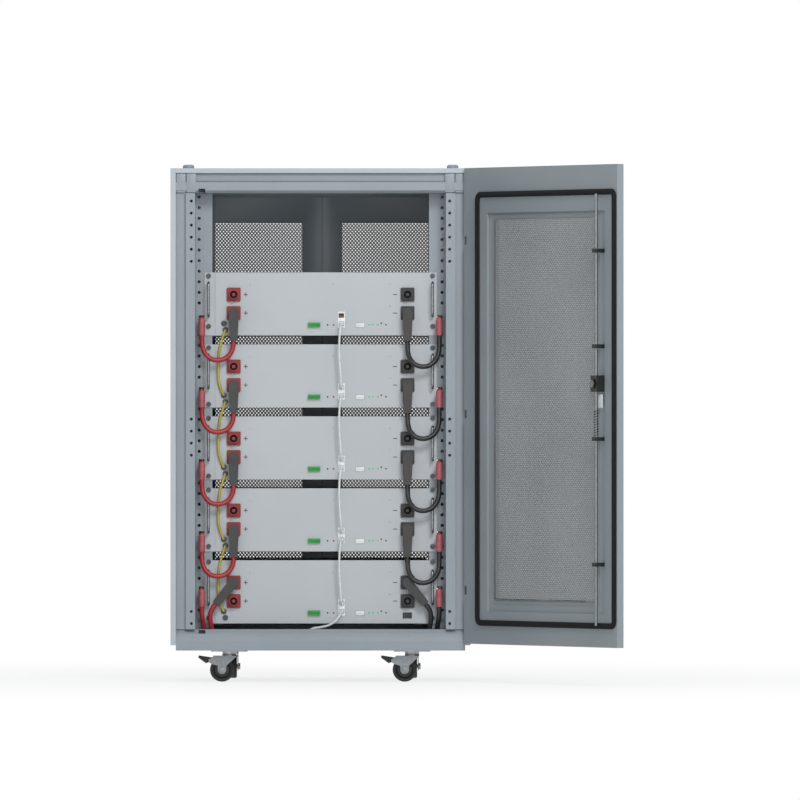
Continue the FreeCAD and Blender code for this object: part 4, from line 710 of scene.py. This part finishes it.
def hanging_points(side, top, foot):
    """A power cable's loop from its plug down and up into the boot, in steps across, forward and down."""
    start = Vector((side * SOCKET_OFFSET, CABLE_FRONT, top - SOCKET_LOWER_DROP - PLUG_LENGTH))
    end = Vector((side * BOOT_OFFSET, BOOT_FRONT, foot))
    if side < 0:
        steps = (
            (0, 0, 0.012), (0.006, 0.001, 0.027), (0.019, 0.004, 0.038), (0.0365, 0.007, 0.041),
            (0.053, 0.007, 0.0345), (0.0632, 0.0065, 0.0198))
        above = 0.0135
    else:
        steps = (
            (0, 0, 0.014), (0.0012, 0.005, 0.029), (0.009, 0.0135, 0.0445), (0.0235, 0.015, 0.0535),
            (0.041, 0.013, 0.0535), (0.0558, 0.009, 0.0442), (0.0646, 0.006, 0.0285))
        above = 0.0195
    middle = [start + Vector((side * across, -forward, -down)) for across, forward, down in steps]
    return [start] + middle + [end - Vector((0, 0, above)), end]


def low_points(side, top, foot):
    """The lowest module's loop drops behind the front beam and lies on the floor plate."""
    way = Vector((side * math.sin(TURNED_PLUG_ANGLE), 0, -math.cos(TURNED_PLUG_ANGLE)))
    start = Vector((side * SOCKET_OFFSET, CABLE_FRONT, top - SOCKET_UPPER_DROP)) + way * PLUG_LENGTH
    end = Vector((side * BOOT_OFFSET, BOOT_FRONT, foot))
    laid = (
        (0.2295, -0.262, 0.069), (0.228, -0.257, 0.053), (0.224, -0.2525, 0.037), (0.217, -0.242, 0.022),
        (0.208, -0.224, 0.0125), (0.196, -0.204, 0.009), (0.186, -0.182, 0.0086), (0.184, -0.158, 0.0086),
        (0.196, -0.138, 0.0086), (0.217, -0.131, 0.0086), (0.236, -0.142, 0.0086), (0.246, -0.163, 0.0086),
        (0.247, -0.188, 0.009), (0.246, -0.212, 0.012), (0.2435, -0.233, 0.021), (0.242, -0.247, 0.036),
        (0.243, -0.2555, 0.053))
    points = [Vector((side * x, y, z)) for x, y, z in laid]
    return [start, start + way * 0.015] + points + [end - Vector((0, 0, 0.017)), end]


def ground_points(upper_top, lower_top):
    """A ground wire from one module's lower stud to the upper stud of the next."""
    y = PANEL_FACE - STUD_REACH - GROUND_WIRE / 2
    z0 = upper_top - STUD_LOWER_DROP
    z1 = lower_top - STUD_UPPER_DROP
    return [
        Vector((-0.198, y, z0)), Vector((-0.203, y, z0 - 0.015)), Vector((-0.210, y, z0 - 0.038)),
        Vector((-0.2124, y, z0 - 0.068)), Vector((-0.213, y, z1 + 0.038)), Vector((-0.209, y, z1 + 0.016)),
        Vector((-0.201, y, z1))]


def jack_front(top, upper):
    """Where the cable leaves the plug in a module's upper or lower signal jack."""
    rise = JACK_SPACING if upper else -JACK_SPACING
    return Vector((JACK_ACROSS, PANEL_FACE - PATCH_PLUG_REACH, top - JACK_DROP + rise))


def patch_points(upper_top, lower_top):
    """A patch cable from one module's lower jack to the upper jack of the next."""
    start = jack_front(upper_top, False)
    end = jack_front(lower_top, True)
    from_start = (
        (0, 0, 0), (0, -0.009, 0), (-0.0016, -0.015, -0.009), (-0.0038, -0.016, -0.027),
        (-0.0044, -0.015, -0.054), (-0.0032, -0.0145, -0.084))
    to_end = ((-0.0012, -0.015, 0.026), (-0.0004, -0.0145, 0.009), (0, -0.009, 0), (0, 0, 0))
    return [start + Vector(step) for step in from_start] + [end + Vector(step) for step in to_end]


def tail_points(top):
    """The last patch cable, from the lowest module's jack down to the floor plate."""
    start = jack_front(top, False)
    end = Vector((start.x - 0.085, start.y + 0.067, 0.0061))
    steps = (
        (0, 0, 0), (0, -0.008, 0), (-0.004, -0.013, -0.010), (-0.013, -0.013, -0.021),
        (-0.027, -0.010, -0.029), (-0.042, -0.006, -0.0325), (-0.057, -0.002, -0.034),
        (-0.070, 0.003, -0.041), (-0.079, 0.009, -0.052), (-0.085, 0.019, -0.063), (-0.087, 0.033, -0.0705))
    return [start + Vector(step) for step in steps] + [end - Vector((0, 0.018, 0)), end]


def lay_cords():
    """All the cords: power loops, ground wires, patch cables and the last patch cable's tail."""
    last = len(MODULE_TOPS)
    sides = (
        (-1, "positive", RED_JACKET, "red_cable", POSITIVE_LOOP),
        (1, "negative", BLACK_JACKET, "black_cable", NEGATIVE_LOOP),
    )
    for number, (top, foot) in enumerate(zip(MODULE_TOPS, BOOT_FEET), start=1):
        low = number == last
        route = low_points if low else hanging_points
        for side, word, material, slot_name, loop in sides:
            lay_cord(
                f"{word}_cable_{number}", route(side, top, foot), POWER_CABLE, material,
                f"{word}_cables")
    for number in range(1, last):
        pair = (MODULE_TOPS[number - 1], MODULE_TOPS[number])
        lay_cord(
            f"ground_wire_{number}", ground_points(*pair), GROUND_WIRE, EARTH_JACKET,
            "ground_wires")
        lay_cord(
            f"patch_cable_{number}", patch_points(*pair), PATCH_CABLE, PATCH_JACKET,
            "patch_cables")
    lay_cord(
        "patch_cable_tail", tail_points(MODULE_TOPS[-1]), PATCH_CABLE, PATCH_JACKET,
        "patch_cables")


# Perforated sheets
def front_door_sheet():
    """The door's perforated sheet in three fields, and the plain border that is screwed to the recess."""
    s0, s1, z0, z1 = WINDOW
    x0 = DOOR_RIGHT - s1
    x1 = DOOR_RIGHT - s0
    y = MESH_FLOOR + MESH_THICK / 2
    last_row = int((z1 - z0) / HOLE_ROW)
    starts = (0, FIELD_ROWS, 2 * FIELD_ROWS, last_row + 1)
    for index in range(3):
        low_edge = z0 + starts[index] * HOLE_ROW
        top_edge = z0 + (starts[index + 1] - 1) * HOLE_ROW
        mesh = perforated(f"front_door_perforation_{index + 1}", x0, x1, low_edge, top_edge, y, MESH_PAINT)
        swing(mesh)
        piece = new_piece(mesh.name, mesh, MESH_PAINT, "front_door")
        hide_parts("front_door_mesh")
    lap = 8 * MM
    inside = 3 * MM
    shape = bmesh.new()
    low = y - MESH_THICK / 2
    high = y + MESH_THICK / 2
    add_box(shape, (x0 - lap, low, z0 - lap), (x0 + inside, high, z1 + lap))
    add_box(shape, (x1 - inside, low, z0 - lap), (x1 + lap, high, z1 + lap))
    add_box(shape, (x0 + inside, low, z0 - lap), (x1 - inside, high, z0 + inside))
    add_box(shape, (x0 + inside, low, z1 - inside), (x1 - inside, high, z1 + lap))
    mesh = mesh_of(shape, "front_door_mesh_border")
    swing(mesh)
    new_piece("front_door_mesh_border", mesh, MESH_PAINT, "front_door")


def rear_door_leaf(side, word):
    """A rear leaf: the solid's folded frame with its plain sheet taken out, and a perforated field."""
    node = f"rear_door_{word}"
    x0, x1, z0, z1 = REAR_WINDOW
    shape = merged_copy(node)
    plain = []
    for face in shape.faces:
        centre = face.calc_center_median()
        inside_x = x0 - REAR_MARGIN < abs(centre.x) < x1 + REAR_MARGIN
        inside_z = z0 - REAR_MARGIN < centre.z < z1 + REAR_MARGIN
        flat = abs(face.normal.y) > 0.9 and abs(centre.y - REAR_MESH_Y) < REAR_MARGIN
        if inside_x and inside_z and flat:
            plain.append(face)
    bmesh.ops.delete(shape, geom=plain, context="FACES")
    piece = new_piece(f"{node}_leaf", mesh_of(shape, f"{node}_leaf"), REAR_LIGHTENED_PAINT, node)
    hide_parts(node)
    edge = bmesh.new()
    xs = sorted((0.0, side * STRIP_WIDTH))
    front = REAR_MESH_Y - STRIP_HALF_DEPTH
    back = REAR_MESH_Y + STRIP_HALF_DEPTH
    add_box(edge, (xs[0], front, STRIP_LOW), (xs[1], back, STRIP_HIGH))
    new_piece(f"{node}_edge_seal", mesh_of(edge, f"{node}_edge_seal"), FOAM, node)
    low, high = sorted((side * x0, side * x1))
    mesh = perforated(f"{node}_perforation", low, high, z0, z1, REAR_MESH_Y, REAR_LIGHTENED_MESH_PAINT)
    new_piece(mesh.name, mesh, REAR_LIGHTENED_MESH_PAINT, node)


# Door seal
def door_seal():
    """The foam seal: a rounded hollow lip on a flat foot, swept round a frame with round corners."""
    s0, s1, z0, z1 = SEAL_FRAME
    corner = 0.018
    width = 0.012
    thick = 0.007
    arc_steps = 8
    section = []
    for step in range(arc_steps + 1):
        angle = math.pi * step / arc_steps
        section.append((-width / 2 * math.cos(angle), thick * (0.25 + 0.75 * math.sin(angle))))
    section.append((width / 2, 0.0))
    section.append((-width / 2, 0.0))
    middle = corner - width / 2
    path = []
    corners = (
        (s1 - corner, z1 - corner, 0), (s0 + corner, z1 - corner, 90),
        (s0 + corner, z0 + corner, 180), (s1 - corner, z0 + corner, 270))
    for s, z, start in corners:
        for step in range(arc_steps + 1):
            angle = math.radians(start + 90 * step / arc_steps)
            path.append((s, z, math.cos(angle), math.sin(angle)))
    shape = bmesh.new()
    rings = []
    for s, z, out_s, out_z in path:
        ring = []
        for across, height in section:
            reach = middle + across
            place = (DOOR_RIGHT - s - out_s * reach, DOOR_INNER + height, z + out_z * reach)
            ring.append(shape.verts.new(place))
        rings.append(ring)
    for index, ring in enumerate(rings):
        join_rings(shape, ring, rings[(index + 1) % len(rings)])
    bmesh.ops.recalc_face_normals(shape, faces=shape.faces)
    mesh = mesh_of(shape, "front_door_seal", 50)
    swing(mesh)
    piece = new_piece("front_door_seal", mesh, FOAM, "front_door")
    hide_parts("front_door_gasket")


# The casters' turned profiles: radius, and offset along the axle
TREAD = (
    (0.0185, -0.0105), (0.0225, -0.0110), (0.0243, -0.0098), (0.0250, -0.0070), (0.0250, 0.0070),
    (0.0243, 0.0098), (0.0225, 0.0110), (0.0185, 0.0105), (0.0178, 0.0080), (0.0178, -0.0080))
HUB = (
    (0.0041, -0.0105), (0.0088, -0.0105), (0.0096, -0.0085), (0.0150, -0.0078), (0.0180, -0.0095),
    (0.0186, -0.0090), (0.0186, 0.0090), (0.0180, 0.0095), (0.0150, 0.0078), (0.0096, 0.0085),
    (0.0088, 0.0105), (0.0041, 0.0105))


def caster_wheels():
    """Each wheel as a rounded tyre on a dished hub."""
    for name, x, y, turned in CASTERS:
        centre = (x, y + CASTER_TRAIL, AXLE_HEIGHT) if turned else (x - CASTER_TRAIL, y, AXLE_HEIGHT)
        axis = (1, 0, 0) if turned else (0, 1, 0)
        body = f"caster_wheel_{name}"
        tyre_mesh = mesh_of(lathe(TREAD, centre, axis), f"{body}_tyre")
        tyre = new_piece(f"{body}_tyre", tyre_mesh, TYRE, body)
        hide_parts(body)
        hub_mesh = mesh_of(lathe(HUB, centre, axis), f"{body}_hub")
        new_piece(f"{body}_hub", hub_mesh, BLACK_PLASTIC, body)


# A bore too small to see, so that a turned profile stays a ring
PIN_HOLE = 0.0001


# Details on the modules' faces
def screw_tile(radius, height):
    """A low rounded head, facing -Y."""
    profile = (
        (PIN_HOLE, -height), (radius * 0.55, -height), (radius * 0.86, -height * 0.75),
        (radius, -height * 0.3), (radius, 0.0), (PIN_HOLE, 0.0))
    return mesh_of(lathe(profile, (0, 0, 0), (0, 1, 0), 16), "screw_tile")


def bar_mesh(bars, name):
    """Plain bars, each from its low to its high corner, as one mesh."""
    shape = bmesh.new()
    for low, high in bars:
        add_box(shape, low, high)
    return mesh_of(shape, name)


# Where the small fittings stand on every module: across, and down from its top
SCREW_PLACES = ((-0.146, 0.0247), (0.026, 0.0236), (0.144, 0.0236), (0.144, 0.0692))
LAMP_PLACES = ((0.1005, 0.1086), (0.1085, 0.1086), (0.1192, 0.1086))
BUTTON_PLACES = ((0.0145, 0.1090), (0.0269, 0.1090), (0.1260, 0.1055), (0.1358, 0.1086))
PLUS_PLACES = ((-0.1555, SOCKET_UPPER_DROP), (-0.1555, SOCKET_LOWER_DROP))
MINUS_PLACES = ((0.1545, SOCKET_UPPER_DROP), (0.1545, SOCKET_LOWER_DROP))


def module_details():
    """Screws, lamps, buttons, and a plus or minus sign beside each socket."""
    half = 0.0042
    thin = 0.0008
    deep = 0.0002
    level = ((-half, -deep, -thin), (half, 0.0, thin))
    upper = ((-thin, -deep, thin), (thin, 0.0, half))
    lower = ((-thin, -deep, -half), (thin, 0.0, -thin))
    fittings = (
        ("panel_screws", screw_tile(0.0022, 0.0011), SCREW_PLACES, MODULE_PAINT, "module_paint"),
        ("status_lamps", screw_tile(0.0016, 0.0010), LAMP_PLACES, GREEN_LAMP, "green_plastic"),
        ("reset_buttons", screw_tile(0.0017, 0.0008), BUTTON_PLACES, INK, "black_plastic"),
        ("plus_marks", bar_mesh([level, upper, lower], "plus_tile"), PLUS_PLACES, INK, "black_plastic"),
        ("minus_marks", bar_mesh([level], "minus_tile"), MINUS_PLACES, INK, "black_plastic"),
    )
    for name, tile, places, material, slot_name in fittings:
        spots = [(x, PANEL_FACE, top - drop) for top in MODULE_TOPS for x, drop in places]
        new_piece(name, repeated(name, tile, spots, material), material, "cabinet")


def contact_carriers():
    """A black rubber ring round the pin of each power socket that no plug covers, set near the mouth as
    painted shade for the deep shroud.
    """
    socket_floor = PANEL_FACE - 0.0040
    profile = (
        (0.0037, 0.0), (0.0078, 0.0), (0.0078, -0.0070), (0.0070, -0.0080), (0.0045, -0.0080),
        (0.0037, -0.0070))
    places = []
    last = len(MODULE_TOPS)
    for number, top in enumerate(MODULE_TOPS, start=1):
        drop = SOCKET_LOWER_DROP if number == last else SOCKET_UPPER_DROP
        for side in (-1, 1):
            places.append((side * SOCKET_OFFSET, socket_floor, top - drop))
    ring = lathe(profile, (0, 0, 0), (0, 1, 0), 24)
    mesh = repeated("contact_carriers", mesh_of(ring, "contact_carrier_tile"), places, FOAM)
    new_piece("contact_carriers", mesh, FOAM, "cabinet")


def address_switches():
    """White switch blocks with a row of small sliders, every third one down."""
    drop = 0.1097
    left = 0.0723
    right = 0.0909
    face = PANEL_FACE - 0.0016
    back = PANEL_FACE - 0.0011
    half_height = 0.0049
    edge_radius = 0.0002
    first_slider = 0.0739
    spacing = 0.0022
    throw = 0.0012
    shape = bmesh.new()
    sliders = []
    for top in MODULE_TOPS:
        z = top - drop
        rounded_box(shape, (left, face, z - half_height), (right, back, z + half_height), edge_radius)
        for step in range(8):
            sliders.append((first_slider + step * spacing, face, z + (throw if step % 3 else -throw)))
    blocks = mesh_of(shape, "address_switch_blocks")
    new_piece("address_switch_blocks", blocks, WHITE_PLASTIC, "cabinet")
    tile = bar_mesh([((-0.0006, -0.0004, -0.0011), (0.0006, 0.0, 0.0011))], "slider_tile")
    mesh = repeated("address_switch_sliders", tile, sliders, WHITE_PLASTIC)
    new_piece("address_switch_sliders", mesh, WHITE_PLASTIC, "cabinet")


def free_jack_lining():
    """The black cup with its contact wires inside the first module's unused jack."""
    half_width = 0.0055
    half_height = 0.0045
    wall = 0.0003
    contact_spacing = 0.0011
    contact_half = 0.0002
    contact_depth = 0.0022
    centre = jack_front(MODULE_TOPS[0], True)
    x0 = centre.x - half_width
    x1 = centre.x + half_width
    z0 = centre.z - half_height
    z1 = centre.z + half_height
    y0 = PANEL_FACE - 0.0014
    y1 = PANEL_FACE + 0.0050
    shape = bmesh.new()
    add_box(shape, (x0, y1 - wall, z0), (x1, y1, z1))
    add_box(shape, (x0, y0, z0), (x0 + wall, y1 - wall, z1))
    add_box(shape, (x1 - wall, y0, z0), (x1, y1 - wall, z1))
    add_box(shape, (x0 + wall, y0, z0), (x1 - wall, y1 - wall, z0 + wall))
    add_box(shape, (x0 + wall, y0, z1 - wall), (x1 - wall, y1 - wall, z1))
    lining = mesh_of(shape, "free_jack_lining")
    new_piece("free_jack_lining", lining, BLACK_PLASTIC, "cabinet")
    wires = bmesh.new()
    for step in range(8):
        x = centre.x + (step - 3.5) * contact_spacing
        front = y1 - wall - contact_depth
        add_box(wires, (x - contact_half, front, z0 + 0.0012), (x + contact_half, y1 - wall, z0 + 0.0044))
    contacts = mesh_of(wires, "free_jack_contacts")
    new_piece("free_jack_contacts", contacts, COPPER, "cabinet")


def lock_details():
    """On the lock: the drum's bright face, and a white catch plate below the case."""
    x = DOOR_RIGHT - LOCK_STATION
    profile = ((PIN_HOLE, 0.0), (0.0072, 0.0), (0.0078, 0.0006), (0.0078, 0.0022), (PIN_HOLE, 0.0022))
    drum = lathe(profile, (x, DOOR_INNER + LOCK_REACH, LOCK_LEVEL), (0, 1, 0), 32)
    mesh = mesh_of(drum, "lock_drum_face")
    swing(mesh)
    new_piece("lock_drum_face", mesh, SHADED_CHROME, "front_door")
    plate = bmesh.new()
    low = (x - 0.0090, DOOR_INNER + 0.0005, LOCK_LEVEL - 0.0500)
    high = (x + 0.0070, DOOR_INNER + 0.0025, LOCK_LEVEL - 0.0220)
    rounded_box(plate, low, high, 0.0006)
    mesh = mesh_of(plate, "catch_plate")
    swing(mesh)
    new_piece("catch_plate", mesh, WHITE_PLASTIC, "front_door")


# Light, floor and background
WHITE = (1, 1, 1, 1)
FLOOR_LEVEL = -0.0665


def light_scene():
    """Three soft lamps, and a world that shows white behind the cabinet and lights it faintly."""
    scene = bpy.context.scene
    scene.view_settings.view_transform = "Standard"
    world = bpy.data.worlds.new("studio")
    scene.world = world
    world.use_nodes = True
    tree = world.node_tree
    back = tree.nodes["Background"]
    back.inputs["Color"].default_value = (0.97, 0.985, 1.0, 1.0)
    back.inputs["Strength"].default_value = 0.38
    white = add(tree, "ShaderNodeBackground", values={"Color": WHITE, "Strength": 1.0})
    ray = add(tree, "ShaderNodeLightPath")
    glossy = arithmetic(
        tree, "MAXIMUM", None, {0: ray.outputs["Is Camera Ray"], 1: ray.outputs["Is Glossy Ray"]})
    seen = arithmetic(tree, "MAXIMUM", None, {0: glossy, 1: ray.outputs["Is Transmission Ray"]})
    mix = add(
        tree, "ShaderNodeMixShader", None, None, {0: seen, 1: back.outputs[0], 2: white.outputs[0]})
    tree.links.new(mix.outputs[0], tree.nodes["World Output"].inputs["Surface"])
    lamps = (
        ("key_light", (1.3, -5.0, 3.6), 1.5, 128.0),
        ("front_light", (0.8, -6.0, 1.2), 3.0, 60.0),
        ("back_light", (-1.5, 4.5, 3.0), 3.0, 60.0),
    )
    for name, place, size, power in lamps:
        data = bpy.data.lights.new(name, "AREA")
        data.size = size
        data.energy = power
        lamp = bpy.data.objects.new(name, data)
        lamp.visible_camera = False
        lamp.location = place
        aim = Vector((0.1, 0.0, 0.5)) - Vector(place)
        lamp.rotation_euler = aim.to_track_quat("-Z", "Y").to_euler()
        scene.collection.objects.link(lamp)


def lay_floor():
    """A wide pale floor that keeps the cabinet's shadow close by and turns white further out."""
    shape = bmesh.new()
    bmesh.ops.create_circle(shape, cap_ends=True, segments=64, radius=14.0)
    mesh = mesh_of(shape, "studio_floor")
    mesh.transform(Matrix.Translation((0, 0, FLOOR_LEVEL)))
    floor = bpy.data.objects.new("studio_floor", mesh)
    bpy.context.scene.collection.objects.link(floor)
    material, tree, shader, place = start_material("pale_floor", Roughness=0.9)
    shader.inputs["Base Color"].default_value = linear("f4f5f6")
    away = add(tree, "ShaderNodeVectorMath", {"operation": "LENGTH"}, None, {"Vector": place})
    fade = add(
        tree, "ShaderNodeMapRange", None,
        {"From Min": 0.6, "From Max": 2.2, "To Min": 0.8, "To Max": 1.0}, {"Value": away.outputs["Value"]})
    glow = add(tree, "ShaderNodeEmission", values={"Color": WHITE, "Strength": 1.0})
    ray = add(tree, "ShaderNodeLightPath")
    seen = arithmetic(
        tree, "MAXIMUM", None, {0: ray.outputs["Is Camera Ray"], 1: ray.outputs["Is Glossy Ray"]})
    share = arithmetic(tree, "MULTIPLY", None, {0: seen, 1: fade.outputs["Result"]})
    mix = add(
        tree, "ShaderNodeMixShader", None, None, {0: share, 1: shader.outputs[0], 2: glow.outputs[0]})
    tree.links.new(mix.outputs[0], tree.nodes["Material Output"].inputs["Surface"])
    mesh.materials.append(material)


# Edges rounded over, with the rounding in millimetres
SOFTENED = (
    ("front_door_pan", 0.9, DOOR_SHADED_PAINT, "front_door", "door_paint"),
    ("base_frame", 0.9, CABINET_PAINT, "cabinet", "frame_paint"),
    ("top_frame", 0.9, CABINET_PAINT, "cabinet", "frame_paint"),
    ("corner_posts", 0.9, CABINET_PAINT, "cabinet", "frame_paint"),
    ("side_panels", 1.2, PANEL_PAINT, "cabinet", "panel_paint"),
    ("roof_cover", 1.2, PANEL_PAINT, "cabinet", "panel_paint"),
    ("roof_bolts", 0.8, CABINET_PAINT, "cabinet", "frame_paint"),
    ("module_front_panels", 0.7, MODULE_PAINT, "cabinet", "module_paint"),
    ("positive_plugs", 1.4, PLUG_PLASTIC, "cabinet", "plug_plastic"),
    ("negative_plugs", 1.4, PLUG_PLASTIC, "cabinet", "plug_plastic"),
    ("door_handle", 0.8, BLACK_PLASTIC, "door_handle", "black_plastic"),
    ("lock_case", 0.5, BLACK_PLASTIC, "front_door", "black_plastic"),
)

place_camera()
lay_cords()
front_door_sheet()
rear_door_leaf(-1, "left")
rear_door_leaf(1, "right")
door_seal()
caster_wheels()
module_details()
contact_carriers()
address_switches()
free_jack_lining()
lock_details()
rod_spring()
corner_castings()
for solid, width, paint, moving_body, slot_word in SOFTENED:
    soften(solid, width * MM, paint, moving_body)
for caster_name, _, _, _ in CASTERS:
    fork = f"caster_fork_{caster_name}"
    soften(fork, 0.4 * MM, SATIN_STEEL, fork)
for caster_name in ("front_left", "front_right"):
    pedal = f"brake_pedal_{caster_name}"
    soften(pedal, 0.8 * MM, BLACK_PLASTIC, pedal)
light_scene()
lay_floor()
